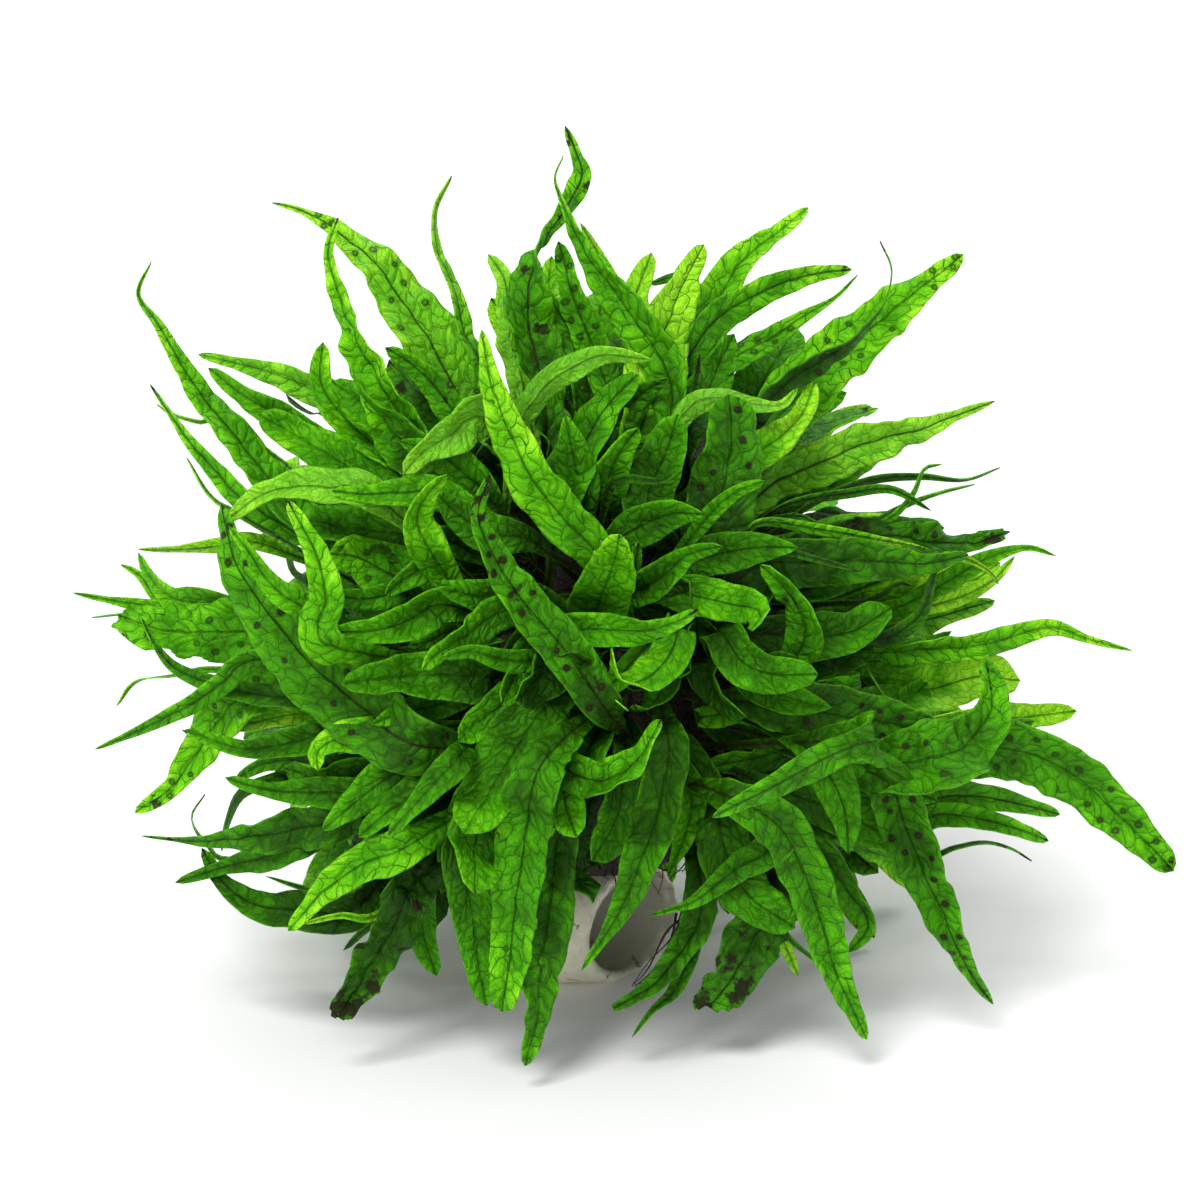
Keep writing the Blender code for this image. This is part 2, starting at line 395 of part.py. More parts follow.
def stations_along(points, longest):
    """Stations on the smooth curve: every point, and the middle of each span over the longest."""
    fine, run = smooth_curve(points)
    chosen = [0]
    for index in range(CURVE_STEPS, len(fine), CURVE_STEPS):
        if run[index] - run[index - CURVE_STEPS] > longest:
            chosen.append(index - CURVE_STEPS // 2)
        chosen.append(index)
    return fine[chosen], run[chosen] / run[-1], run[-1]


def blade_width(fraction, stalk, frond):
    """The frond's width at a fraction of its length: a narrow stalk, then a lance-shaped blade."""
    if fraction <= stalk:
        return min(STALK_WIDTH, frond.width)
    along = (fraction - stalk) / (1.0 - stalk)
    rise = math.sin(0.5 * math.pi * min(1.0, along / WIDEST)) ** RISE_BEND
    past_widest = max(0.0, (along - WIDEST) / (1.0 - WIDEST))
    fall = max(0.0, math.cos(0.5 * math.pi * past_widest)) ** frond.point
    return min(STALK_WIDTH, frond.width) * (1.0 - rise) + frond.width * rise * fall


def unit(vector):
    return vector / (np.linalg.norm(vector) + 1e-9)


def frond_frames(points, roll):
    """A sideways and a facing direction at each station, turned smoothly along the frond."""
    toward = np.array(TOWARD)
    tangents = np.gradient(points, axis=0)
    middle = len(points) // 2
    tangent = unit(tangents[middle])
    across = np.cross(toward, tangent)
    if np.linalg.norm(across) < HEAD_ON:
        across = across + HEAD_ON_SHIFT * np.array(RIGHT)
    across = unit(across - tangent * np.dot(across, tangent))
    facing = np.cross(tangent, across)
    turn = math.radians(roll)
    start = math.cos(turn) * across + math.sin(turn) * facing
    sides = [None] * len(points)
    sides[middle] = start
    for order in (range(middle + 1, len(points)), range(middle - 1, -1, -1)):
        side = start
        for index in order:
            tangent = unit(tangents[index])
            side = unit(side - tangent * np.dot(side, tangent))
            sides[index] = side
    faces = [unit(np.cross(unit(tangent), side)) for tangent, side in zip(tangents, sides)]
    return np.array(sides), np.array(faces)


def frond_sections(frond, line, swell=0.0):
    """Three corners at each station: left edge, right edge and keel, then the tip.

    swell makes the wider and thicker body that keeps the fronds clear of each other.
    """
    sides, faces = frond_frames(line.points, frond.roll)
    seen = math.cos(math.radians(frond.roll))
    sections = []
    for index, centre in enumerate(line.points[:-1]):
        half = 0.5 * blade_width(line.shares[index], line.stalk, frond) / seen + swell
        lift = faces[index] * min(swell, CLEARANCE_DEPTH)
        left = centre - sides[index] * half + lift
        right = centre + sides[index] * half + lift
        keel = centre - faces[index] * KEEL - lift
        lowest = min(left[2], right[2], keel[2])
        raised = np.array((0.0, 0.0, max(0.0, GROUND_GAP - swell - lowest)))
        sections.append((left + raised, right + raised, keel + raised))
    tip = line.points[-1] + unit(line.points[-1] - line.points[-2]) * swell
    return sections, tip


def clearance_tree(frond, line, skip):
    """The swollen body of a frond without its first stations, for finding what it would touch."""
    sections, tip = frond_sections(frond, line, CLEARANCE)
    corners = [corner for section in sections[skip:] for corner in section]
    corners.append(tip)
    faces = [(0, 1, 2)]
    rings = len(sections) - skip
    for ring in range(rings - 1):
        low = ring * 3
        for side in range(3):
            following = (side + 1) % 3
            faces.append((low + side, low + following, low + 3 + following, low + 3 + side))
    top = (rings - 1) * 3
    faces.extend((top + side, top + (side + 1) % 3, top + 3) for side in range(3))
    box = (np.min(corners, axis=0), np.max(corners, axis=0))
    return BVHTree.FromPolygons([tuple(corner) for corner in corners], faces), box


class Thicket:
    """All bodies placed so far, asked whether a new frond would touch one of them."""

    def __init__(self):
        self.trees = []
        self.lows = np.empty((0, 3))
        self.highs = np.empty((0, 3))

    def copy(self):
        other = Thicket()
        other.take_over(self)
        return other

    def take_over(self, other):
        self.trees = list(other.trees)
        self.lows = other.lows
        self.highs = other.highs

    def add(self, tree, box):
        self.trees.append(tree)
        self.lows = np.vstack((self.lows, box[0]))
        self.highs = np.vstack((self.highs, box[1]))

    def add_mesh(self, bm):
        bm.verts.index_update()
        corners = [tuple(vert.co / METRES) for vert in bm.verts]
        faces = [tuple(vert.index for vert in face.verts) for face in bm.faces]
        tree = BVHTree.FromPolygons(corners, faces)
        self.add(tree, (np.min(corners, axis=0), np.max(corners, axis=0)))
        return tree

    def touches(self, tree, box, apart_from=None):
        near = np.all((self.lows < box[1]) & (self.highs > box[0]), axis=1)
        for index in np.flatnonzero(near):
            if self.trees[index] is not apart_from and tree.overlap(self.trees[index]):
                return True
        return False


def picture_trials():
    """Small changes of a frond's place, tried in turn until it is clear of the others."""
    for turn in TURN_TRIALS:
        for depth in DEPTH_TRIALS:
            yield depth, math.radians(turn)


def turned(across, up, angle):
    """A picture point turned about the middle of the clump."""
    sideways = across - TURN_CENTRE[0]
    upwards = up - TURN_CENTRE[1]
    return (TURN_CENTRE[0] + sideways * math.cos(angle) - upwards * math.sin(angle),
            TURN_CENTRE[1] + sideways * math.sin(angle) + upwards * math.cos(angle))


def picture_points(frond, depth_change, turn):
    """The frond's points in space, from its inner visible end to its tip."""
    last = len(frond.path) - 1
    points = []
    for index, (across, up) in enumerate(frond.path):
        share = index / last
        depth = frond.inner + (frond.outer - frond.inner) * share
        depth += depth_change * min(1.0, BASE_DEPTH_SHARE + share)
        points.append(in_space_above_ground(*turned(across, up, turn), depth))
    return points


def picture_choices(frond):
    for change in picture_trials():
        yield picture_points(frond, *change)


def back_frond(number):
    """A frond of the back and the way it points, on a spiral over the far half of the clump."""
    level = BACK_TOP + (BACK_BOTTOM - BACK_TOP) * (number + 0.5) / BACK_COUNT
    round_angle = number * GOLDEN_ANGLE
    ring = math.sqrt(max(0.0, 1.0 - level * level))
    backwards = abs(ring * math.sin(round_angle)) + BACK_FORWARD
    direction = Vector((ring * math.cos(round_angle), backwards, level))
    width = BACK_WIDTHS[number % len(BACK_WIDTHS)]
    roll = BACK_ROLLS[number % len(BACK_ROLLS)]
    point = BACK_POINTS[number % len(BACK_POINTS)]
    return Frond("back_%02d" % number, width, 0, 0, (), roll, point), direction.normalized()


def in_picture(point):
    """Where a point in space is seen in the picture, across and up."""
    offset = point - AIM
    grow = VIEW_DISTANCE / (VIEW_DISTANCE - offset.dot(TOWARD))
    return PICTURE_CENTRE[0] + offset.dot(RIGHT) * grow, PICTURE_CENTRE[1] + offset.dot(UP) * grow


def inside_outline(start, end):
    """The share of the way from start to end that stays inside the outline of the dense foliage."""
    for share in np.linspace(1.0, SHORTEST_SHARE, OUTLINE_STEPS):
        across, up = in_picture(start.lerp(end, share))
        out = math.hypot((across - OUTLINE_CENTRE[0]) / OUTLINE_RADII[0],
                         (up - OUTLINE_CENTRE[1]) / OUTLINE_RADII[1])
        if out <= 1.0:
            return share
    return SHORTEST_SHARE


def back_trials(number, direction, random):
    """Points of a frond of the back: the planned way first, then ways near it, growing shorter."""
    for trial in range(BACK_TRIALS):
        wander = Vector(random.normal(0.0, BACK_WANDER * trial, 3))
        way = (direction + wander).normalized()
        step = number + trial // BACK_TRIALS_OF_A_LENGTH
        length = BACK_LENGTH * BACK_LENGTH_SHARES[step % len(BACK_LENGTH_SHARES)]
        length *= 1.0 + BACK_LIFT * way.z
        across = Vector((-way.y, way.x, 0.0)) * BACK_BENDS[number % len(BACK_BENDS)]
        sag = Vector((0.0, 0.0, -BACK_SAG * length * (1.0 - BACK_STEEP_SAG * max(0.0, way.z))))
        start = MAT_CENTRE + Vector((way[axis] * MAT_RADII[axis] for axis in range(3)))
        length *= inside_outline(start, start + way * length + sag)
        points = [start + way * length * BACK_INNER_SHARE + across * BACK_INNER_BEND,
                  start + way * length * BACK_MIDDLE_SHARE + across + sag * BACK_MIDDLE_SAG,
                  start + way * length + sag]
        for point in points:
            point.z = max(point.z, LOWEST_LINE)
        yield points


def new_mesh_object(name, bm, material):
    bmesh.ops.recalc_face_normals(bm, faces=bm.faces)
    if bm.calc_volume(signed=True) < 0.0:
        bmesh.ops.reverse_faces(bm, faces=bm.faces)
    mesh = bpy.data.meshes.new(name)
    bm.to_mesh(mesh)
    mesh.shade_smooth()
    mesh.set_sharp_from_angle(angle=SHARP_ANGLE)
    mesh.materials.append(material)
    piece = bpy.data.objects.new(name, mesh)
    bpy.context.scene.collection.objects.link(piece)
    return piece


def make_material(name, colour, roughness):
    material = bpy.data.materials.new(name)
    material.use_nodes = True
    shader = material.node_tree.nodes["Principled BSDF"]
    shader.inputs["Base Color"].default_value = (*colour, 1.0)
    shader.inputs["Roughness"].default_value = roughness
    return material


def build_way():
    """The space through the tube that stays free; it keeps fronds out and is no piece itself."""
    bm = bmesh.new()
    bmesh.ops.create_cube(bm, size=2.0 * METRES)
    bmesh.ops.scale(bm, vec=(WAY_HALF_LENGTH, WAY_HALF_WIDTH, WAY_HALF_WIDTH), verts=bm.verts)
    bmesh.ops.translate(bm, vec=(0.0, 0.0, TUBE_AXIS_HEIGHT * METRES), verts=bm.verts)
    return bm


def tube_profile():
    """Angles round the tube, with a corner on each edge of the flat underside."""
    corner = math.acos((TUBE_RADIUS - TUBE_FLAT_DEPTH) / TUBE_RADIUS)
    start = -0.5 * math.pi + corner
    sweep = 2.0 * math.pi - 2.0 * corner
    return [start + sweep * index / (TUBE_SIDES - 1) for index in range(TUBE_SIDES)]


def tube_ring(bm, radius, end, slant):
    """One loop of the tube's wall, on the slanted plane of one of its ends."""
    ring = []
    for angle in tube_profile():
        sideways = radius * math.cos(angle)
        height = TUBE_AXIS_HEIGHT + radius * math.sin(angle)
        ring.append(bm.verts.new(Vector((end + slant * sideways, sideways, height)) * METRES))
    return ring


def build_tube():
    bm = bmesh.new()
    ends = ((TUBE_LEFT_END, TUBE_LEFT_SLANT), (TUBE_RIGHT_END, TUBE_RIGHT_SLANT))
    outer_left, outer_right = (tube_ring(bm, TUBE_RADIUS, end, slant) for end, slant in ends)
    inner_left, inner_right = (tube_ring(bm, TUBE_RADIUS - TUBE_WALL, end, slant) for end, slant in ends)
    loops = (outer_left, outer_right, inner_right, inner_left)
    for index, loop in enumerate(loops):
        following_loop = loops[(index + 1) % len(loops)]
        for side in range(TUBE_SIDES):
            following = (side + 1) % TUBE_SIDES
            bm.faces.new((loop[side], loop[following], following_loop[following], following_loop[side]))
    return bm


def mat_lump(direction):
    """How far the root mat swells or sinks in a direction: a long, a slanting and a short wave.

    The bare numbers are the waves' turns and starting places, chosen by eye.
    """
    waves = (math.sin(5.0 * direction.x + 1.3) * math.cos(4.0 * direction.z),
             math.sin(7.0 * direction.y - 2.0 * direction.z + 0.7),
             math.cos(9.0 * direction.z + 4.0 * direction.x))
    together = sum(share * wave for share, wave in zip(MAT_LUMP_SHARES, waves))
    return MAT_LUMP * together / sum(MAT_LUMP_SHARES)


def make_seat_cutter():
    """A round bar a little thicker than the tube, which cuts the mat's seat."""
    bm = bmesh.new()
    radius = (TUBE_RADIUS + MAT_TUBE_GAP) * METRES
    bmesh.ops.create_cone(bm, cap_ends=True, segments=TUBE_SIDES, radius1=radius, radius2=radius,
                          depth=SEAT_LENGTH * METRES)
    mesh = bpy.data.meshes.new("seat_cutter")
    bm.to_mesh(mesh)
    bm.free()
    cutter = bpy.data.objects.new("seat_cutter", mesh)
    cutter.rotation_euler = (0.0, math.radians(90.0), 0.0)
    cutter.location = (0.0, 0.0, TUBE_AXIS_HEIGHT * METRES)
    cutter.hide_render = True
    cutter.display_type = "WIRE"
    bpy.context.scene.collection.objects.link(cutter)
    return cutter


def build_root_mat(material):
    """A lumpy ovoid with the tube's round cut out of its underside."""
    bm = bmesh.new()
    bmesh.ops.create_icosphere(bm, subdivisions=MAT_SUBDIVISIONS, radius=1.0)
    for vert in bm.verts:
        direction = vert.co.normalized()
        swell = mat_lump(direction)
        place = Vector((direction[axis] * (MAT_RADII[axis] + swell) for axis in range(3)))
        vert.co = (MAT_CENTRE + place) * METRES
    mat = new_mesh_object("root_mat", bm, material)
    bm.free()
    cut = mat.modifiers.new("tube seat", "BOOLEAN")
    cut.operation = "DIFFERENCE"
    cut.solver = "EXACT"
    cut.object = make_seat_cutter()
    return mat


def evaluated_bmesh(piece):
    """The shape that an object has once its modifiers have run."""
    bpy.context.view_layer.update()
    graph = bpy.context.evaluated_depsgraph_get()
    bm = bmesh.new()
    bm.from_mesh(piece.evaluated_get(graph).to_mesh())
    return bm


def on_mat(tree, direction):
    """Where a direction from the middle of the mat leaves it."""
    direction = direction.normalized()
    start = MAT_CENTRE + direction * RAY_START
    hit = tree.ray_cast(start, -direction)[0]
    return hit if hit is not None else MAT_CENTRE + direction * MAT_RADII.x


def stem_line(tree, number):
    """The middle line of a creeping stem, lying on the mat from its crown downwards."""
    heading = -90.0 + 360.0 * number / len(STEM_NAMES)
    line = []
    for ring in range(STEM_RINGS):
        share = ring / (STEM_RINGS - 1)
        slope = math.radians(STEM_FIRST_ANGLE + (STEM_LAST_ANGLE - STEM_FIRST_ANGLE) * share)
        wander = heading + STEM_SPIRAL * (share - 0.5)
        wander += STEM_WAVE * math.sin(STEM_WAVE_TURN * share + number)
        wander = math.radians(wander)
        direction = Vector((math.sin(slope) * math.cos(wander), math.sin(slope) * math.sin(wander),
                            math.cos(slope)))
        line.append(on_mat(tree, direction) + direction * (STEM_RADIUS + STEM_CLEARANCE))
    return line


def build_stem(line):
    """A knobbly tube round the middle line, with closed ends."""
    bm = bmesh.new()
    rings = []
    for index, centre in enumerate(line):
        share = index / (len(line) - 1)
        ahead = (line[min(index + 1, len(line) - 1)] - line[max(index - 1, 0)]).normalized()
        out = (centre - MAT_CENTRE).normalized()
        side = ahead.cross(out).normalized()
        out = side.cross(ahead)
        radius = STEM_RADIUS + (STEM_END_RADIUS - STEM_RADIUS) * share
        radius *= 1.0 + STEM_KNOBS * math.sin(STEM_KNOB_TURN * index)
        ring = []
        for step in range(STEM_SIDES):
            angle = 2.0 * math.pi * (step + 0.5) / STEM_SIDES
            place = centre + (side * math.cos(angle) + out * math.sin(angle)) * radius
            ring.append(bm.verts.new(place * METRES))
        rings.append(ring)
    for low, high in zip(rings, rings[1:]):
        for step in range(STEM_SIDES):
            following = (step + 1) % STEM_SIDES
            bm.faces.new((low[step], low[following], high[following], high[step]))
    for ring in (rings[0], rings[-1]):
        bm.faces.new(ring)
    bmesh.ops.triangulate(bm, faces=bm.faces)
    bmesh.ops.recalc_face_normals(bm, faces=bm.faces)
    return bm


def corner_order(face, section):
    """For each corner of a triangle face, which corner of the section it is drawn out to.

    A section's corners run the other way round the frond than those of a face that looks along it.
    """
    corners = [Vector(corner) * METRES for corner in section]
    turns = [(2, 1, 0), (1, 0, 2), (0, 2, 1)]
    return min(turns, key=lambda turn: sum((vert.co - corners[corner]).length
                                           for vert, corner in zip(face.verts, turn)))


def grow(bm, face, sections, tip):
    """Draw a triangle face out through the sections and close it at the tip."""
    order = corner_order(face, sections[0])
    for section in sections:
        face = bmesh.ops.extrude_discrete_faces(bm, faces=[face])["faces"][0]
        for vert, corner in zip(face.verts, order):
            vert.co = Vector(section[corner]) * METRES
    face = bmesh.ops.extrude_discrete_faces(bm, faces=[face])["faces"][0]
    bmesh.ops.pointmerge(bm, verts=list(face.verts), merge_co=Vector(tip) * METRES)


def build_main_frond(sections, tip):
    """A frond as a piece of its own, drawn out from a small triangle at its base."""
    bm = bmesh.new()
    base = bm.faces.new([bm.verts.new(Vector(corner) * METRES) for corner in reversed(sections[0])])
    base.normal_update()
    grow(bm, base, sections[1:], tip)
    bmesh.ops.holes_fill(bm, edges=bm.edges)
    return bm


class StemFaces:
    """The faces of the creeping stems that a frond can grow from, each used once."""

    def __init__(self, stems):
        self.open = []
        for number, bm in enumerate(stems):
            for face in bm.faces:
                centre = face.calc_center_median() / METRES
                if face.normal.dot((centre - MAT_CENTRE).normalized()) > STEM_FACE_OUT:
                    self.open.append((number, face, centre, face.normal.copy()))

    def nearest(self, place):
        near = [entry for entry in self.open if (entry[2] - place).length < FACE_REACH]
        return sorted(near, key=lambda entry: (entry[2] - place).length)[:FACE_TRIALS]

    def take(self, taken):
        self.open = [entry for entry in self.open if (entry[2] - taken[2]).length > BASE_SPACING]


class Line(NamedTuple):
    """A frond's middle line: its stations, their shares of its length, and the bare stalk's share."""
    points: object
    shares: object
    stalk: float


def grown_line(base, out, points, longest):
    """The line of a frond that leaves its base straight out and then passes through the points."""
    stations, shares, length = stations_along([base, base + out * FIRST_STEP] + points, longest)
    for station in stations[1:]:
        station[2] = max(station[2], LOWEST_LINE)
    stalk = min(LONGEST_STALK, STALK_SHARE * (points[0] - base).length / length)
    return Line(stations, shares, stalk)


def lead_in(points, mat_tree, run):
    """Where on the mat a frond starts so that it runs on smoothly into its first points."""
    behind = points[0] - (points[1] - points[0]).normalized() * run
    out = (behind - MAT_CENTRE).normalized()
    return on_mat(mat_tree, out), out


def place_main_frond(frond, mat_tree, thicket, random):
    """The line of a main frond that touches nothing placed before it, or None."""
    for trial, change in enumerate(picture_trials()):
        points = picture_points(frond, *change)
        for attempt in range(BASE_TRIALS):
            base, out = lead_in(points, mat_tree, LEAD_INS[0])
            if trial + attempt:
                out = (out + Vector(random.uniform(-BASE_SHIFT, BASE_SHIFT, 3))).normalized()
                base = on_mat(mat_tree, out)
            base = base + out * BASE_GAP
            line = grown_line(base, out, points, MAIN_SPAN)
            tree, box = clearance_tree(frond, line, 0)
            if not thicket.touches(tree, box):
                thicket.add(tree, box)
                return line
    return None


def place_main_fronds(mat_tree, thicket, random):
    """Lines for all main fronds: the front ones first, but one that finds no room goes before all."""
    order = sorted(MAIN_FRONDS, key=lambda entry: -entry.outer)
    for _ in range(ORDER_TRIALS):
        room = thicket.copy()
        placed = []
        for frond in order:
            line = place_main_frond(frond, mat_tree, room, random)
            if line is None:
                break
            placed.append((frond, line))
        if len(placed) == len(order):
            break
        print("placed first:", frond.name)
        order.remove(frond)
        order.insert(0, frond)
    thicket.take_over(room)
    return placed


def place_small_frond(frond, choices, faces, stem_trees, mat_tree, thicket):
    """The line of a frond on a creeping stem, with the face that it grows from, or None."""
    for trial, points in enumerate(choices):
        wanted = lead_in(points, mat_tree, LEAD_INS[trial % len(LEAD_INS)])[0]
        for entry in faces.nearest(wanted):
            stem, face, base, normal = entry
            line = grown_line(base, normal, points, SMALL_SPAN)
            whole, box = clearance_tree(frond, line, 0)
            if thicket.touches(whole, box, stem_trees[stem]):
                continue
            free, free_box = clearance_tree(frond, line, 1)
            if thicket.touches(free, free_box):
                continue
            thicket.add(whole, box)
            faces.take(entry)
            return line, entry
    return None


def grow_small_frond(frond, placed, stems):
    line, (stem, face, *_) = placed
    sections, tip = frond_sections(frond, line)
    grow(stems[stem], face, sections[1:], tip)


def build():
    for old in list(bpy.data.objects):
        bpy.data.objects.remove(old)
    tube_material = make_material("holder_ceramic", *CERAMIC)
    root_material = make_material("root_fibre", *ROOT)
    stem_material = make_material("small_frond_green", *SMALL_FROND)
    frond_material = make_material("frond_green", *MAIN_FROND)

    random = np.random.RandomState(SEED)
    thicket = Thicket()
    tube = build_tube()
    thicket.add_mesh(tube)
    thicket.add_mesh(build_way())
    new_mesh_object("holder_tube", tube, tube_material)
    mat = build_root_mat(root_material)
    mat_shape = evaluated_bmesh(mat)
    mat_tree = thicket.add_mesh(mat_shape)
    stems = [build_stem(stem_line(mat_tree, number)) for number in range(len(STEM_NAMES))]
    stem_trees = [thicket.add_mesh(stem) for stem in stems]

    for frond, line in place_main_fronds(mat_tree, thicket, random):
        sections, tip = frond_sections(frond, line)
        new_mesh_object(frond.name, build_main_frond(sections, tip), frond_material)

    faces = StemFaces(stems)
    wanted = [(frond, picture_choices(frond))
              for frond in sorted(SMALL_FRONDS, key=lambda entry: -entry.outer)]
    for number in range(BACK_COUNT):
        frond, direction = back_frond(number)
        wanted.append((frond, back_trials(number, direction, random)))
    grown = []
    for frond, choices in wanted:
        placed = place_small_frond(frond, choices, faces, stem_trees, mat_tree, thicket)
        if placed is None:
            print("no room for", frond.name)
            continue
        grown.append((frond, placed))
    for frond, placed in grown:
        grow_small_frond(frond, placed, stems)
    for name, stem in zip(STEM_NAMES, stems):
        new_mesh_object(name, stem, stem_material)
    print("fronds on the stems:", len(grown))


build()
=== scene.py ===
"""The looks of a clump of java fern on a cut tube.

Every frond is laid again along the middle line of its solid, as a thin veined blade, and the root
mat, the creeping stems and the tube get their finished forms. Lengths are in millimetres here and
become metres where a mesh is written.
"""
import math
from contextlib import contextmanager
from typing import NamedTuple

import bmesh
import bpy
import numpy as np
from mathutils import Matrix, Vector
from mathutils.bvhtree import BVHTree


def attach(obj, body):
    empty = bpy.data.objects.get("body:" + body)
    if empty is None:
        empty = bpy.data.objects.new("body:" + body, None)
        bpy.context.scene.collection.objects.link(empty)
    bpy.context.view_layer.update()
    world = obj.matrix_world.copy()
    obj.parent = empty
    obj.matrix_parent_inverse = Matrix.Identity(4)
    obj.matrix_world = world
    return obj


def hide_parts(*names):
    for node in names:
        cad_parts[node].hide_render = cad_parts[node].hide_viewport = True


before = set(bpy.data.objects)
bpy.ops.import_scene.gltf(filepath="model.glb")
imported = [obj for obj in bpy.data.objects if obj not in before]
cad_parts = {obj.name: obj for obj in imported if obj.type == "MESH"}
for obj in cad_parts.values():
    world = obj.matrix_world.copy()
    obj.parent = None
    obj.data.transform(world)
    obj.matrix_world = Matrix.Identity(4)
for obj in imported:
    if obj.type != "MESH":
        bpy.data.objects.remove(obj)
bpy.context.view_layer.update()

MM = 0.001
SEED = 11

# The camera and the light
AIM = Vector((10.5, 0.0, 120.0))
VIEW_TILT = math.radians(16.0)
VIEW_DISTANCE = 1200.0
PICTURE_CENTRE = (10.5, 102.3)
RIGHT = Vector((1.0, 0.0, 0.0))
UP = Vector((0.0, math.sin(VIEW_TILT), math.cos(VIEW_TILT)))
TOWARD = Vector((0.0, -math.cos(VIEW_TILT), math.sin(VIEW_TILT)))
LENS = 120.0
SENSOR = 36.0
FLOOR_SIZE = 16.0
WORLD_LIGHT = 0.56
LAMP_ANGLE = math.radians(24.0)
LAMPS = (("key_light", (-0.4, -0.7, 1.2), 2.35), ("back_light", (0.5, 0.9, 1.0), 0.9),
         ("front_light", (-0.45, -1.0, 0.3), 0.45))

# The holder tube, as its solid has it
TUBE_SIDES = 96
TUBE_BLANK = 120.0
TUBE_RADIUS = 18.5
TUBE_WALL = 3.8
TUBE_AXIS_HEIGHT = 17.0
TUBE_ENDS = ((21.0, 0.73), (-24.0, -0.6))
TUBE_GRAIN = 0.7
RIM_DEPTH = 1.8
RIM_WEAR = 2.6
CLAY_WEAR = 0.5

# The root mat and the creeping stems, as their solids have them
MAT_CENTRE = np.array((12.0, 0.0, 90.0))
MAT_RADII = np.array((42.0, 38.0, 58.0))
MAT_GRAIN = 1.5
MAT_LUMPS = 3.2
MAT_FUZZ = 1.6
STEM_NAMES = ("creeping_stem_front", "creeping_stem_front_right", "creeping_stem_right",
              "creeping_stem_back_right", "creeping_stem_back", "creeping_stem_back_left",
              "creeping_stem_left", "creeping_stem_front_left")
STEM_RADIUS = 3.5
STEM_END_RADIUS = 2.4
STEM_RINGS = 16
STEM_LIFT = 4.7
STEM_FIRST_ANGLE = 24.0
STEM_LAST_ANGLE = 120.0
STEM_SPIRAL = 30.0
STEM_WAVE = 9.0
RHIZOME_RINGS = 90
RHIZOME_SIDES = 12
SCAR_STEP = 6.0
SCAR_CELL = 1.6

# The fine roots: how many are tried, how they run and how thick they are
ROOT_COUNT = 1300
ROOT_STEPS = 6
ROOT_LENGTH = (9.0, 24.0)
ROOT_RADIUS = (0.16, 0.34)
ROOT_END = 0.35
ROOT_SWERVE = 0.35
ROOT_CURL = 0.42
ROOT_SAG = np.array((0.0, 0.0, -0.16))
ROOT_HOLD = 0.55
WAY_ROOM = 1.0
LONG_ROOT_STRANDS = 4
LONG_ROOT_SPREAD = 0.9

# How finely a blade is divided
MAIN_ROW = 1.25
SMALL_ROW = 2.2
SIBLING_ROW = 3.0
MAIN_COLUMNS = 14
TORN_ROW = 0.7
TORN_COLUMNS = 26
SMALL_COLUMNS = 10
NARROW_COLUMNS = 6
NARROW = 5.0
BLADE_THICKNESS = 0.42
STEPS_EACH = 40
BLUNT = 0.32

# The form of a blade, and its relief
WIDEST = 0.42
STALK = 2.0
LOWEST = 1.2
LEAD_IN = 12.0
VEIN_STEP = 5.6
VEIN_SLANT = 0.62
BULGE = 0.32
GROOVE = 0.5
DOME_STEP = 4.4
GROOVE_HALF = 0.9
BROAD_FROM = 0.7 * STALK
BROAD_OVER = 3.0
BIG_HALF = 7.0
OUTER_FROM = 0.35
WRUNG_FROM = 0.45
RISE_OVER = 0.4
SWAY = math.radians(7.0)
WAVE_LENGTH = 20.0
LONG_BEND = 0.5
LONG_BEND_LENGTH = 31.0
PINCH_AT = 0.72
PINCH_REACH = 0.1
CRUMPLE = 1.4
CRUMPLE_CELL = 4.6
NOISE_SIDE = 64
NOISE_START = 20.0

# How a torn frond is cut: the size of the bites, and how deep they go
BITE_CELL = 4.0
NICK_CELL = 1.7
TORN_TIP = 0.1
TORN_EDGE = 0.75

# Where the root mat shows between the fronds: places in the picture, with how far round them
MAT_SHOWS = ((1.5, 111.6, 9.0), (8.1, 132.3, 4.0), (0.0, 75.0, 8.0), (35.0, 71.0, 7.0), (63.0, 90.0, 7.0),
             (22.5, 59.0, 6.0), (75.0, 102.0, 6.0), (38.0, 52.0, 9.0), (52.0, 104.0, 6.0))

# The shorter fronds between those that have solids
SIBLINGS_EACH = 24
SIBLING_TRIALS = 8
SIBLING_ANGLE = (16.0, 52.0)
SIBLING_SIZE = (0.45, 0.8)
SIBLING_WIDTH = (0.75, 1.15)
WAY_REACH = 70.0
CROWD_CELL = 4.0
CROWD_ROWS = 30
CROWD_COLUMNS = 5
MOST_MET = 0.3

# The vein net and the spots, in centimetres on the blade
MAIN_CELL = 0.4
SMALL_CELL = 0.3
MAIN_VEINS = 0.95
SMALL_VEINS = 0.62
SORUS_STEP = 0.66

# Colours, as the shader takes them
GREENS = ((0.0, (0.005, 0.026, 0.0002)), (0.3, (0.018, 0.1, 0.0004)),
          (0.6, (0.058, 0.32, 0.0008)), (0.8, (0.14, 0.56, 0.003)),
          (1.0, (0.38, 0.88, 0.022)))
PALE_GREEN = (0.28, 0.72, 0.05)
LEAF_SHINE = 0.2
SHINE_TINT = (0.7, 1.0, 0.5)
RIB_BROWN = (0.035, 0.012, 0.006)
EDGE_GLOW_GREEN = (0.14, 0.46, 0.01)
MIDRIB_AND_BASE_SHADE_DARK = (0.006, 0.022, 0.002)
SORUS_BROWN = (0.014, 0.007, 0.003)
SORUS_MIDDLE = (0.05, 0.035, 0.012)
SPOILT_BROWN = (0.014, 0.007, 0.005)
ROOT_DARK = (0.012, 0.007, 0.007)
ROOT_PURPLE = (0.04, 0.022, 0.026)
ROOT_LIGHT = (0.16, 0.11, 0.05)
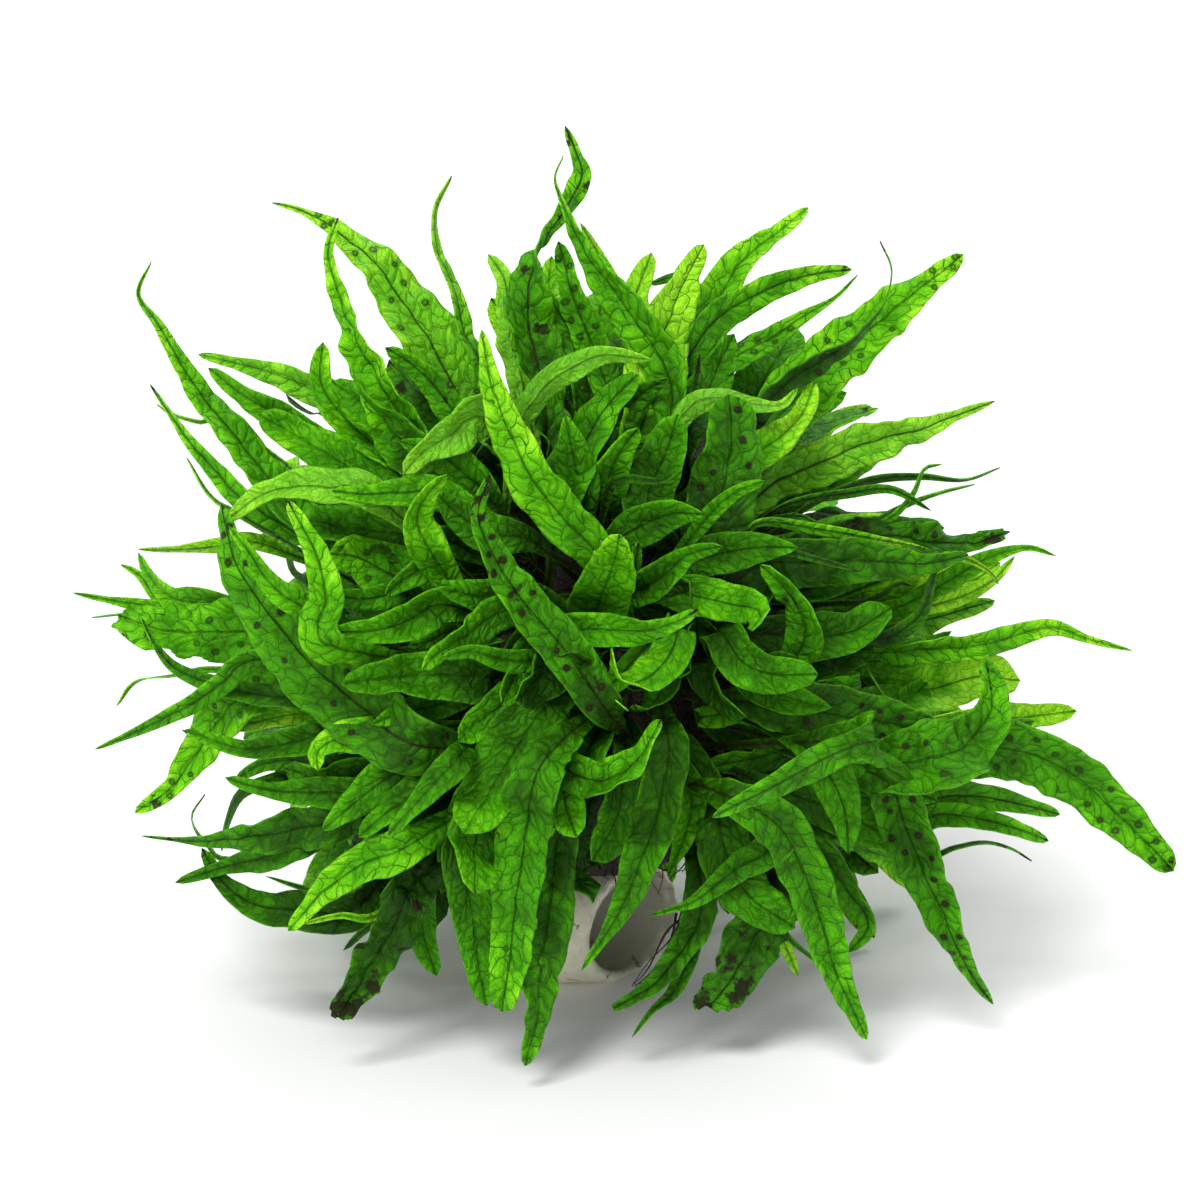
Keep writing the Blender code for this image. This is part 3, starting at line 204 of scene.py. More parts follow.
RHIZOME_BROWN = (0.035, 0.022, 0.01)
RHIZOME_GREEN = (0.05, 0.09, 0.015)
CLAY_PALE = (0.93, 0.9, 0.74)
CLAY_STAINED = (0.87, 0.83, 0.66)
CLAY_GREY = (0.55, 0.51, 0.42)
CLAY_ALGAE = (0.5, 0.52, 0.3)
CLAY_BORE_SHADE = (0.12, 0.12, 0.08)
FLOOR_GREY = (0.9, 0.9, 0.9)
FLOOR_WHITE = (0.93, 0.93, 0.93)


class Look(NamedTuple):
    """How one frond differs from the others.

    tone runs from 0, dark, to 1, yellow-green, and holds painted shade and light beside the frond's own
    green: darker deep in the clump and low in front, lighter at the lit outside; sori is how far the
    rows of spots reach along it; brown is how much of it is spoilt; cup lifts its edges; wave is its
    margins' swing in millimetres; twist turns it about its length, in degrees; torn cuts its tip and
    margins; pale gives it a light bloom; taper draws its outer part out narrower than its solid, or
    wider where it is below 0; full is its width beside the solid's; pinch narrows it where it is wrung.
    """
    tone: float = 0.5
    sori: float = 0.0
    brown: float = 0.0
    cup: float = 0.16
    wave: float = 1.0
    twist: float = 0.0
    torn: float = 0.0
    pale: float = 0.0
    taper: float = 0.0
    full: float = 1.0
    pinch: float = 0.0


# Each frond's tone holds painted shade and light as well as its own green: darker for fronds deep in the
# clump and low in front, lighter for the outer ones, as if lit through
LOOKS = {
    "left_curled_tip": Look(0.62, cup=0.2, wave=1.4, taper=0.35),
    "upper_left_pale": Look(0.66, 0.0, 0.1, pale=0.4),
    "upper_left_broad": Look(0.84, 0.95, cup=0.08, pale=0.35),
    "upper_left_curled": Look(0.7, 0.0, 0.3, cup=0.5, wave=1.6, taper=0.35),
    "top_left_strand": Look(0.8, cup=0.2, wave=1.2, twist=30.0),
    "top_twisted": Look(0.52, 0.2, 0.75, cup=0.3, wave=1.4, twist=200.0, taper=0.15, pinch=0.6),
    "top_leaning": Look(0.6, 0.3, cup=0.2, wave=1.2),
    "top_bright": Look(0.95, cup=0.1, full=1.35),
    "top_right_spoon": Look(0.7, cup=0.25, wave=0.8),
    "upper_right_blunt": Look(0.6, 0.3, 0.15, cup=0.2, wave=1.2),
    "upper_right_tailed": Look(0.6, 0.5, 0.1, cup=0.2, wave=1.2),
    "upper_right_thin_dark": Look(0.15, 0.4, 0.5, cup=0.3, wave=1.2, twist=40.0),
    "upper_right_broad": Look(0.68, 0.9, 0.15, cup=0.08, wave=1.2),
    "right_bright_long": Look(0.86, cup=0.12, wave=1.5, pale=0.6),
    "right_crumpled": Look(0.16, 0.5, 0.8, cup=0.3, wave=2.4, torn=0.5),
    "right_net_dark": Look(0.2, 0.0, 0.2, cup=0.12, wave=1.4),
    "right_middle": Look(0.7, 0.3),
    "right_wavy_thin": Look(0.74, cup=0.2, wave=1.3, twist=30.0, full=1.25),
    "right_upright": Look(0.38, 0.4, 0.3, cup=0.4, wave=1.5, full=1.75),
    "right_spotted": Look(0.22, 1.0, 0.15, cup=0.1, wave=1.1),
    "centre_right_torn": Look(0.35, 0.3, 0.35, cup=0.15, wave=1.3, torn=0.6),
    "centre_right_blunt": Look(0.32, cup=0.14, wave=1.3),
    "far_right_drooping": Look(0.46, 0.8, 0.1, cup=0.1, wave=0.8),
    "lower_right_upper": Look(0.4, 0.4, 0.1),
    "lower_right_lower": Look(0.45, 0.3, 0.1),
    "lower_right_long": Look(0.34, 0.6, 0.15, cup=0.2, wave=1.3),
    "lower_front_right": Look(0.45, 0.0, 0.1, cup=0.14, wave=1.2),
    "lower_right_crossing": Look(0.34, wave=1.2, taper=-0.9),
    "tube_crossing": Look(0.3, 0.3, 0.1),
    "front_damaged": Look(0.13, 0.4, 1.0, cup=0.12, wave=1.5, torn=1.0),
    "front_small_dark": Look(0.2, 0.0, 0.35, cup=0.25, wave=1.4, torn=0.3),
    "tube_hanging": Look(0.27, cup=0.12, wave=1.2),
    "centre_smile": Look(0.42, 0.0, 0.4, cup=0.35, wave=1.4),
    "centre_short_broad": Look(0.5, cup=0.2, wave=0.8),
    "upper_centre_dark": Look(0.2, 1.0, 0.1, cup=0.1, wave=1.1),
    "upper_centre_broad": Look(0.38, cup=0.2, wave=1.2),
    "front_tall_bright": Look(0.74, cup=0.12),
    "front_spotted": Look(0.36, 0.9, 0.85, cup=0.14, wave=1.1),
    "front_left_large": Look(0.41, 1.0, cup=0.08, wave=0.8),
    "front_left_midrib": Look(0.64, 0.0, 0.1, cup=0.14, wave=1.2),
    "left_thin_tip": Look(0.6, 0.0, 0.1),
    "far_left_broad": Look(0.54, 0.5, 0.4, cup=0.1, wave=1.4, torn=0.6),
    "left_dark_curve": Look(0.25, 0.3, 0.1),
    "left_lower_long": Look(0.45, 0.3, 0.1),
    "left_lower_bright": Look(0.68, 0.7, 0.1, full=1.25),
    "left_low_horizontal": Look(0.28, 0.0, 0.2, wave=1.3),
    "left_low_bright": Look(0.64, cup=0.14, wave=1.1),
    "left_low_crumpled": Look(0.1, 0.0, 1.0, cup=0.25, wave=2.2, torn=0.6, full=1.3),
    "front_low_bright": Look(0.46, cup=0.12, torn=0.2, taper=-0.3, full=1.15),
    "front_low_dark": Look(0.24, 0.3, 0.2, cup=0.2, wave=2.0, taper=-0.8),
}


class InnerFrond(NamedTuple):
    """A frond of the heart of the clump: its widest width, its tone, its depths and its points in
    the picture, how far it is rolled, in degrees, and how soon it narrows to its tip.
    """
    width: float
    tone: float
    inner: float
    outer: float
    path: tuple
    roll: float = 0.0
    point: float = 0.8


# The low tones of these fronds are painted shade, as they lie deep in the clump
INNER_FRONDS = (
    InnerFrond(7.0, 0.5, 54, 72, ((26, 90), (17, 80), (13, 75), (19, 69))),
    InnerFrond(9.0, 0.4, 50, 66, ((-26, 75), (-38, 71), (-50, 68), (-58, 65))),
    InnerFrond(13.0, 0.3, 54, 58, ((-33, 60), (-47, 53), (-60, 44), (-73, 33)), 0.0, 0.7),
    InnerFrond(12.5, 0.25, 52, 54, ((70, 60), (79, 50), (84, 39), (85, 26)), 0.0, 0.7),
    InnerFrond(13.0, 0.3, 46, 50, ((-20, 58), (-26, 44), (-33, 30), (-37, 14)), -15.0, 0.7),
    InnerFrond(8.5, 0.35, 50, 50, ((34, 54), (38, 43), (36, 32), (31, 20))),
    InnerFrond(13.0, 0.22, 44, 50, ((20, 62), (25, 46), (24, 34), (19, 20)), 15.0, 0.7),
    InnerFrond(14.0, 0.3, 42, 46, ((34, 60), (41, 44), (46, 26), (49, 8)), -12.0, 0.7),
    InnerFrond(13.5, 0.25, 42, 36, ((66, 60), (84, 55), (98, 48), (112, 42)), 0.0, 0.7),
    InnerFrond(13.5, 0.25, 38, 32, ((62, 46), (80, 40), (94, 33), (106, 27)), 0.0, 0.7),
    InnerFrond(9.5, 0.4, 12, 4, ((82, 83), (94, 84), (106, 87), (116, 93))),
    InnerFrond(12.0, 0.28, 48, 62, ((14, 118), (22, 124), (32, 128), (42, 128))),
    InnerFrond(12.0, 0.25, 46, 58, ((34, 112), (46, 116), (58, 118), (70, 118))),
    InnerFrond(11.0, 0.3, 50, 66, ((-12, 106), (-22, 103), (-31, 104), (-40, 108))),
    InnerFrond(12.0, 0.3, 48, 62, ((-10, 120), (-22, 122), (-32, 128), (-40, 136))),
    InnerFrond(11.0, 0.25, 48, 60, ((50, 82), (60, 76), (70, 72), (80, 70))),
    InnerFrond(12.0, 0.3, 44, 56, ((6, 128), (4, 138), (2, 148), (0, 158))),
    InnerFrond(12.0, 0.35, 44, 54, ((-22, 132), (-30, 140), (-38, 146), (-50, 150))),
    InnerFrond(12.0, 0.3, 8, 2, ((9, 150), (7, 166), (2, 182), (-6, 195)), 12.0),
    InnerFrond(11.0, 0.34, 4, -10, ((18, 149), (22, 164), (29, 178), (38, 187))),
    InnerFrond(12.0, 0.3, -4, -28, ((13, 148), (13, 162), (15, 175), (19, 186)), -14.0),
    InnerFrond(10.0, 0.22, 18, 30, ((11, 144), (15, 154), (22, 163), (31, 169)), 10.0),
)

# Long roots by the tube: their places in the picture with a depth, and how thick they are
LONG_ROOTS = (
    (((34, 8, 30), (31, 1, 34), (26, -8, 36), (21, -14, 36)), 0.5),
    (((12, 44, 44), (15, 34, 46), (17, 26, 46), (18, 21, 44)), 0.35),
)

# How the small fronds in view differ, each by where its tip is seen in the picture; their tones hold painted
# shade and light as well as their own green
SMALL_LOOKS = (
    (Look(0.88, taper=-0.8), ((-128, 117.5), (130.5, 113.5), (153.5, 69), (-113, 53.5), (136.5, 78))),
    (Look(0.85), ((70, -10.5), (26, 206.5))),
    (Look(0.74), ((75, 168), (98, 127.5), (109.5, 117.5), (-4, 205.5), (42, 198), (4.5, 215.5), (-67, 184))),
    (Look(0.6), ((-74, 51), (-35.5, 140), (14, 88), (56, 93))),
    (Look(0.44), ((-70, 92.5), (-43, 81.5), (19, 69))),
    (Look(0.47, 0.0, 0.35), ((22, 120), (40, 99.5))),
    (Look(0.7, pale=0.8), ((-48.5, 140), (-102, 126), (-23, 206))),
    (Look(0.6, pale=0.7, taper=-0.5, full=1.5), ((26, 174.5), (70, 166))),
    (Look(0.54), ((-101, 124.5), (103, 24))),
    (Look(0.35), ((-37, 85), (-30, 32), (-27, 14))),
    (Look(0.6, taper=-0.8), ((-128, 116.5), (-133.5, 113), (-134.5, 70.5), (147.5, 115.5),
                              (-148, 104.5))),
    (Look(0.48), ((49, 197), (-92, 158), (-107, 172), (113, 143), (123, 137), (60, 138),
                  (-70, 135))),
    (Look(0.29), ((47, 118.5), (76, 80), (-114, 63.5), (-102, 49), (-117, 17.5), (-52, 30), (-34, -13),
                  (-23.5, -19.5), (-5, -13), (-54, 104), (-72, 104), (-32, 60), (-19, 71), (85, -3.5))),
    (Look(0.48, 0.7), ((-2, 210), (-71, 116))),
    (Look(0.33), ((-70, 168), (116, 93), (131, 51), (3.5, 31), (78, -8), (-108, 44))),
    (Look(0.38, 0.0, 0.7), ((-54, 178), (58.5, 113), (22, 154), (140, 24))),
    (Look(0.38, 0.0, 0.4, torn=0.6), ((108, 86), (-94, 67))),
    (Look(0.24), ((130.5, 142), (25, 197), (45, 184), (110, 129), (141, 66), (95.5, -9), (98, 100),
                  (94, 82), (8, 24), (-10, 18), (66, 50), (20, -29), (69, 4), (34, 158), (-99, 48.5),
                  (-67, 73), (-62, 31), (-78, 126), (-84, 52))),
    (Look(0.1, 0.0, 0.5), ((111.5, 113), (89, 87), (-109, 28))),
)
NEAR_TIP = 7.0
REACH = 150.0
OUTER_FULLNESS = -0.35


class Line(NamedTuple):
    """A frond's middle line, read from its solid: centres, half widths and two directions."""
    centres: np.ndarray
    halves: np.ndarray
    sides: np.ndarray
    faces: np.ndarray
    tip: np.ndarray


def unit(vectors):
    return vectors / (np.linalg.norm(vectors, axis=-1, keepdims=True) + 1e-9)


def square_to(vectors, axes):
    """The directions of some vectors, turned square to the axes."""
    return unit(vectors - axes * np.sum(vectors * axes, axis=-1, keepdims=True))


def rings_from(tip):
    """The rings of three corners that a frond's solid has, from its tip back to its base."""
    seen = {tip}
    front = {edge.other_vert(tip) for edge in tip.link_edges}
    rings = []
    while len(front) == 3:
        rings.append(sorted(front, key=lambda vert: vert.index))
        seen |= front
        front = {edge.other_vert(vert) for vert in front for edge in vert.link_edges} - seen
    return rings


def match_corners(ring, reference):
    """The ring's corners in the order of the reference ring: left, right, keel."""
    def offsets(corners):
        return unit(corners - corners.mean(axis=0))
    wanted = offsets(reference)
    found = offsets(ring)
    orders = ((0, 1, 2), (1, 2, 0), (2, 0, 1), (0, 2, 1), (2, 1, 0), (1, 0, 2))
    best = max(orders, key=lambda order: np.sum(found[list(order)] * wanted))
    return ring[list(best)]


def line_from(rings, tip):
    """The middle line of a frond from its rings of corners, base first."""
    rings = [np.array([vert.co for vert in ring]) / MM for ring in reversed(rings)]
    spans = [[np.linalg.norm(ring[(corner + 1) % 3] - ring[(corner + 2) % 3]) for corner in range(3)]
             for ring in rings]
    widest = int(np.argmax([max(span) for span in spans]))
    keel = int(np.argmax(spans[widest]))
    rings[widest] = rings[widest][[(keel + 1) % 3, (keel + 2) % 3, keel]]
    for order in (range(widest + 1, len(rings)), range(widest - 1, -1, -1)):
        reference = rings[widest]
        for index in order:
            rings[index] = match_corners(rings[index], reference)
            reference = rings[index]
    corners = np.array(rings)
    centres = 0.5 * (corners[:, 0] + corners[:, 1])
    sides = corners[:, 1] - corners[:, 0]
    halves = 0.5 * np.linalg.norm(sides, axis=1)
    sides = unit(sides)
    faces = square_to(centres - corners[:, 2], sides)
    return Line(centres, halves, sides, faces, np.array(tip.co) / MM)


def lines_in(node):
    """The middle lines of all fronds in a node's solid."""
    bm = bmesh.new()
    bm.from_mesh(node.data)
    bmesh.ops.remove_doubles(bm, verts=bm.verts, dist=0.01 * MM)
    bm.verts.index_update()
    lines = []
    for vert in bm.verts:
        if len(vert.link_edges) != 3:
            continue
        rings = rings_from(vert)
        if len(rings) >= 3:
            lines.append(line_from(rings, vert))
    bm.free()
    return lines


def smooth(values, spots):
    """Values at fractional spots between the given ones, on a smooth curve through them."""
    values = np.asarray(values, dtype=float)
    if values.ndim == 1:
        values = values[:, None]
    known = np.vstack((2 * values[:1] - values[1:2], values, 2 * values[-1:] - values[-2:-1]))
    start = np.clip(np.floor(spots).astype(int), 0, len(values) - 2)
    t = (spots - start)[:, None]
    before, first, second, after = (known[start + step] for step in range(4))
    return 0.5 * (2 * first + (second - before) * t
                  + (2 * before - 5 * first + 4 * second - after) * t ** 2
                  + (3 * first - before - 3 * second + after) * t ** 3)


class Course(NamedTuple):
    """A frond's line divided into rows: places, half widths, directions and run from the base."""
    places: np.ndarray
    halves: np.ndarray
    sides: np.ndarray
    faces: np.ndarray
    run: np.ndarray


def held(values):
    """The values with the last one repeated, for the tip."""
    return np.vstack((values, values[-1:]))


def clipped(value, start=0.0, over=1.0):
    """How far a value is from a start on its way over a stretch, from 0 to 1."""
    return np.clip((value - start) / over, 0.0, 1.0)


def spots_on(points, count, first=0):
    """Evenly spaced spots between points, as smooth takes them, from one of them to the last."""
    return np.linspace(float(first), len(points) - 1.0, count)


def course_of(line, row):
    """The rows of a blade, evenly spaced on the smooth curve through the solid's stations."""
    stations = np.vstack((line.centres, line.tip))
    halves = np.append(line.halves, 0.0)
    fine = spots_on(stations, STEPS_EACH * len(stations))
    curve = smooth(stations, fine)
    run = np.concatenate(((0.0,), np.cumsum(np.linalg.norm(np.diff(curve, axis=0), axis=1))))
    rows = max(8, int(run[-1] / row))
    wanted = np.linspace(0.0, run[-1], rows + 1)
    spots = np.interp(wanted, run, fine)
    places = smooth(stations, spots)
    tangents = unit(np.gradient(places, axis=0))
    sides = square_to(smooth(held(line.sides), spots), tangents)
    faces = smooth(held(line.faces), spots)
    crossed = np.cross(tangents, sides)
    faces = crossed * np.sign(np.sum(crossed * faces, axis=1, keepdims=True) + 1e-9)
    widths = np.clip(smooth(halves, spots)[:, 0], 0.0, None)
    last = len(stations) - 2
    in_tip = clipped(spots, last)
    power = 0.5 if line.halves[-1] > BLUNT * line.halves.max() else 0.8
    rounded = line.halves[-1] * np.power(np.clip(1.0 - in_tip ** 2, 0.0, 1.0), power)
    widths = np.where(spots > last, rounded, widths)
    return Course(places, widths, sides, faces, wanted)


def ripple(run, length, phase):
    """A wave from -1 to 1 along a run."""
    return np.sin(2.0 * math.pi * run / length + phase)


def eased(share):
    """A share from 0 to 1 that starts and ends slowly."""
    return share * share * (3.0 - 2.0 * share)


def value_noise(across, along, random, cell):
    """Smooth noise from 0 to 1 over a blade, with features about a cell across."""
    table = random.uniform(0.0, 1.0, (NOISE_SIDE, NOISE_SIDE))
    x = across / cell + NOISE_START
    y = along / cell
    column = np.floor(x).astype(int)
    row = np.floor(y).astype(int)
    fx = eased(x - column)
    fy = eased(y - row)

    def at(down, right):
        return table[(row + down) % NOISE_SIDE, (column + right) % NOISE_SIDE]
    return (at(0, 0) * (1 - fx) + at(0, 1) * fx) * (1 - fy) + (at(1, 0) * (1 - fx) + at(1, 1) * fx) * fy


def lift_of(look, course, across, outwards, halves, phases, random):
    """How far each place of a blade is lifted off its line: its cup, waves, domes, groove and folds."""
    run = course.run[:, None]
    length = course.run[-1]
    from_midrib = np.abs(outwards)
    broad = clipped(halves, BROAD_FROM, BROAD_OVER)
    size = np.clip(course.halves.max() / BIG_HALF, 0.35, 1.3)
    cup = look.cup * (1.0 + 0.5 * ripple(run, 0.9 * length, phases[3]))
    lift = cup * broad * np.abs(across) ** 1.7 * halves
    edge = broad * np.abs(across) ** 2.2 * look.wave * size
    own_side = np.where(across < 0.0, phases[4], phases[5])
    lift = lift + edge * (0.9 * ripple(run, WAVE_LENGTH, own_side)
                          + 0.45 * ripple(run, 0.43 * WAVE_LENGTH, 2.0 * own_side))
    along_vein = (run - VEIN_SLANT * from_midrib) / VEIN_STEP
    cells = (0.5 - 0.5 * np.cos(2.0 * math.pi * along_vein + phases[6] + 0.6 * np.sign(across)))
    cells = cells * (0.45 + 0.55 * (0.5 - 0.5 * np.cos(2.0 * math.pi * from_midrib / DOME_STEP)))
    lift = lift + BULGE * broad * cells * (1.0 - np.abs(across) ** 6)
    lift = lift - GROOVE * broad * np.exp(-(outwards / GROOVE_HALF) ** 2)
    lift = lift + LONG_BEND * broad * ripple(run, LONG_BEND_LENGTH, phases[7])
    return lift + CRUMPLE * look.wave * broad * (value_noise(outwards, run, random, CRUMPLE_CELL) - 0.5)


def shape_blade(course, look, columns, random):
    """The corners of a blade, row by row, and how far each is from the base and from the midrib."""
    across = np.linspace(-1.0, 1.0, columns + 1)[None, :]
    run = course.run[:, None]
    length = course.run[-1]
    share = run / length
    phases = random.uniform(0.0, 2.0 * math.pi, 8)
    outer = clipped(share, OUTER_FROM, RISE_OVER)
    wrung_at = np.exp(-((share - PINCH_AT) / PINCH_REACH) ** 2)
    halves = course.halves[:, None] * look.full * (1.0 - look.taper * outer) * (1.0 - look.pinch * wrung_at)
    swing = 1.0 + clipped(halves, BROAD_FROM, BROAD_OVER) * (
        0.035 * ripple(run, 15.0, phases[0] + 1.4 * np.sign(across))
        + 0.014 * ripple(run, 6.7, phases[1] + 2.0 * np.sign(across)))
    outwards = across * halves * swing

    turn = math.radians(look.twist) * eased(clipped(share, WRUNG_FROM, RISE_OVER))
    turn = (turn + SWAY * ripple(run, 0.7 * length, phases[2]))[..., None]
    sides = np.cos(turn) * course.sides[:, None, :] + np.sin(turn) * course.faces[:, None, :]
    faces = np.cos(turn) * course.faces[:, None, :] - np.sin(turn) * course.sides[:, None, :]
    lift = lift_of(look, course, across, outwards, halves, phases, random)
    corners = course.places[:, None, :] + sides * outwards[..., None] + faces * lift[..., None]
    return corners, outwards, np.broadcast_to(share, outwards.shape)


def around(mask):
    """A grid of true and false, moved by one place each way."""
    rows, columns = mask.shape
    padded = np.pad(mask, 1, mode="edge")
    return [padded[up:up + rows, side:side + columns] for up in range(3) for side in range(3)]


def torn_away(outwards, share, length, across, look, random):
    """True where a torn frond has lost its blade: bites in the margins and a ragged tip."""
    run = share * length
    coarse = value_noise(outwards, run, random, BITE_CELL)
    fine = value_noise(outwards, run, random, NICK_CELL)
    ragged = 0.7 * coarse + 0.3 * fine
    tip_line = 1.0 - TORN_TIP * look.torn * ragged
    depth = TORN_EDGE * look.torn * np.clip(ragged - 0.5, 0.0, 1.0)
    edge_line = 1.0 - depth * np.clip(3.0 * share, 0.0, 1.0)
    gone = (share > tip_line) | (np.abs(across) > edge_line)
    with_slivers = np.logical_or.reduce(around(gone))
    return np.logical_and.reduce(around(with_slivers))


def islands_in(bm):
    """The corners of each connected part of a mesh."""
    islands = []
    unseen = set(bm.verts)
    for vert in list(bm.verts):
        if vert not in unseen:
            continue
        island = [vert]
        unseen.discard(vert)
        for reached in island:
            near = [edge.other_vert(reached) for edge in reached.link_edges]
            fresh = [other for other in near if other in unseen]
            unseen.difference_update(fresh)
            island.extend(fresh)
        islands.append(island)
    return islands


def tear(mesh, gone):
    """Cut the lost places out of a blade, keep its largest piece and smooth the torn edges."""
    bm = bmesh.new()
    bm.from_mesh(mesh)
    bm.verts.ensure_lookup_table()
    lost = [bm.verts[int(index)] for index in np.flatnonzero(gone)]
    bmesh.ops.delete(bm, geom=lost, context="VERTS")
    islands = islands_in(bm)
    largest = max(islands, key=len)
    loose = [vert for island in islands if island is not largest for vert in island]
    bmesh.ops.delete(bm, geom=loose, context="VERTS")
    rim = [vert for vert in bm.verts if vert.is_boundary]
    for _ in range(2):
        bmesh.ops.smooth_vert(bm, verts=rim, factor=0.5, use_axis_x=True, use_axis_y=True,
                              use_axis_z=True)
    bm.to_mesh(mesh)
    bm.free()


def deselect():
    for piece in list(bpy.context.selected_objects):
        piece.select_set(False)


def take(piece):
    """Select one piece alone and make it the active one."""
    deselect()
    piece.select_set(True)
    bpy.context.view_layer.objects.active = piece


@contextmanager
def editing(piece):
    """Edit mode with all of one piece selected."""
    take(piece)
    bpy.ops.object.mode_set(mode="EDIT")
    bpy.ops.mesh.select_all(action="SELECT")
    yield
    bpy.ops.object.mode_set(mode="OBJECT")


def apply(piece, kind, **settings):
    """Add a modifier to the piece and apply it."""
    take(piece)
    modifier = piece.modifiers.new(kind.lower(), kind)
    for key, value in settings.items():
        setattr(modifier, key, value)
    bpy.ops.object.modifier_apply(modifier=modifier.name)


def place_in_scene(name, data):
    """A new object of some data, linked to the scene."""
    piece = bpy.data.objects.new(name, data)
    bpy.context.scene.collection.objects.link(piece)
    return piece


def finish(piece, material, node=None):
    """Give a piece its finish and its place in the frame."""
    piece.data.materials.append(material)
    if node is not None:
        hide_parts(node)
    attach(piece, "root")
    return piece


def sheet(name, corners):
    """A flat grid, its corners moved to the given places row by row."""
    rows, columns = corners.shape[:2]
    deselect()
    bpy.ops.mesh.primitive_grid_add(x_subdivisions=columns - 1, y_subdivisions=rows - 1, size=2.0)
    piece = bpy.context.active_object
    piece.name = name
    piece.data.vertices.foreach_set("co", (corners * MM).astype(np.float32).ravel())
    return piece


def random_for(name):
    """A piece's own chance, the same in every run."""
    return np.random.RandomState(SEED + sum(ord(letter) for letter in name))


def add_uv(mesh, name, values):
    """A UV map from one pair of numbers for each vertex."""
    layer = mesh.uv_layers.new(name=name)
    corner_vertex = np.empty(len(mesh.loops), dtype=np.int32)
    mesh.loops.foreach_get("vertex_index", corner_vertex)
    layer.uv.foreach_set("vector", np.ascontiguousarray(values[corner_vertex], dtype=np.float32).ravel())


def make_blade(name, line, look, row, columns, random):
    """One blade as a single sheet, shaped from a flat grid."""
    course = course_of(line, row)
    corners, outwards, share = shape_blade(course, look, columns, random)
    blade = sheet(name, corners)
    mesh = blade.data
    while mesh.uv_layers:
        mesh.uv_layers.remove(mesh.uv_layers[0])
    across = np.broadcast_to(np.linspace(-1.0, 1.0, columns + 1)[None, :], outwards.shape)
    start = random.uniform(0.0, 60.0)
    own = random.uniform(0.0, 1.0)
    length = course.run[-1]
    add_uv(mesh, "blade", np.stack((outwards.ravel() * 0.1, (share * length).ravel() * 0.1 + start), axis=1))
    add_uv(mesh, "span", np.stack((across.ravel(), share.ravel()), axis=1))
    for layer, pair in (("tone", (look.tone, look.sori)), ("wear", (look.brown, own)),
                        ("bloom", (look.pale, 0.0))):
        add_uv(mesh, layer, np.tile(pair, (outwards.size, 1)))
    if look.torn > 0.0:
        tear(mesh, torn_away(outwards, share, length, across, look, random).ravel())
    return blade


def join(pieces, name):
    """One object from several."""
    deselect()
    for piece in pieces:
        piece.select_set(True)
    bpy.context.view_layer.objects.active = pieces[0]
    if len(pieces) > 1:
        bpy.ops.object.join()
    whole = bpy.context.active_object
    whole.name = name
    whole.data.name = name
    return whole


def finish_fronds(piece, material, node=None):
    """Turn a sheet of fronds into a closed thin body and finish it."""
    apply(piece, "SOLIDIFY", thickness=BLADE_THICKNESS * MM, offset=0.0)
    piece.data.shade_smooth()
    return finish(piece, material, node)


def seen_at(place):
    """Where a point is seen in the picture."""
    offset = Vector(place) - AIM
    grow = VIEW_DISTANCE / (VIEW_DISTANCE - offset.dot(TOWARD))
    return np.array((offset.dot(RIGHT) * grow + PICTURE_CENTRE[0],
                     offset.dot(UP) * grow + PICTURE_CENTRE[1]))


def small_look(tip, random):
    """The look of a small frond: as in the picture where its tip is seen there, or any."""
    seen = seen_at(tip)
    in_front = np.dot(tip - np.array(AIM), np.array(TOWARD)) > -30.0
    near, look = min(((np.linalg.norm(seen - np.array(spot)), look)
                      for look, spots in SMALL_LOOKS for spot in spots), key=lambda pair: pair[0])
    cup = random.uniform(0.05, 0.45)
    wave = random.uniform(0.9, 1.9)
    sway = random.uniform(-35.0, 35.0)
    if near < NEAR_TIP and in_front:
        return look._replace(cup=cup, wave=wave, twist=sway, taper=look.taper + OUTER_FULLNESS)
    # Painted shade and light: the tone rises the farther the tip is from the heart of the clump
    from_heart = np.linalg.norm(tip - MAT_CENTRE) / REACH
    tone = np.clip(random.normal(0.5, 0.12) + 0.5 * (from_heart - 0.7), 0.12, 0.88)
    sori = random.uniform(0.3, 0.9) if random.uniform() < 0.15 else 0.0
    brown = random.uniform(0.1, 0.5) if random.uniform() < 0.25 else 0.0
    return Look(tone, sori, brown, cup, wave, sway, taper=OUTER_FULLNESS)


def extra_look(random):
    """The look of a short frond deep in the clump, its low tone painted shade."""
    return Look(random.uniform(-0.1, 0.2), 0.0, random.uniform(0.0, 0.5), random.uniform(0.1, 0.4),
                random.uniform(0.8, 1.8), random.uniform(-60.0, 60.0))


def columns_for(line, most):
    """How many columns a blade of this width needs."""
    widest = line.halves.max()
    if widest < 0.5 * NARROW:
        return NARROW_COLUMNS
    return most if widest > NARROW else SMALL_COLUMNS


def build_main_frond(name, line, material):
    """The finished blade that stands for one frond's solid."""
    look = LOOKS[name.replace("frond_", "", 1)]
    row = TORN_ROW if look.torn > 0.0 else MAIN_ROW
    columns = TORN_COLUMNS if look.torn > 0.0 else columns_for(line, MAIN_COLUMNS)
    blade = make_blade(name.replace("frond", "blade", 1), line, look, row, columns, random_for(name))
    return finish_fronds(blade, material, name)


def build_small_fronds(name, lines, extra, material):
    """The small fronds that grow from one creeping stem, and the shorter ones between them."""
    random = random_for(name)
    blades = [make_blade("%s_%02d" % (name, number), line, small_look(line.tip, random), SMALL_ROW,
                         columns_for(line, SMALL_COLUMNS), random) for number, line in enumerate(lines)]
    blades += [make_blade("%s_extra_%02d" % (name, number), line, extra_look(random), SIBLING_ROW,
                          NARROW_COLUMNS, random) for number, line in enumerate(extra)]
    whole = join(blades, name.replace("creeping_stem", "small_fronds"))
    return finish_fronds(whole, material, name)


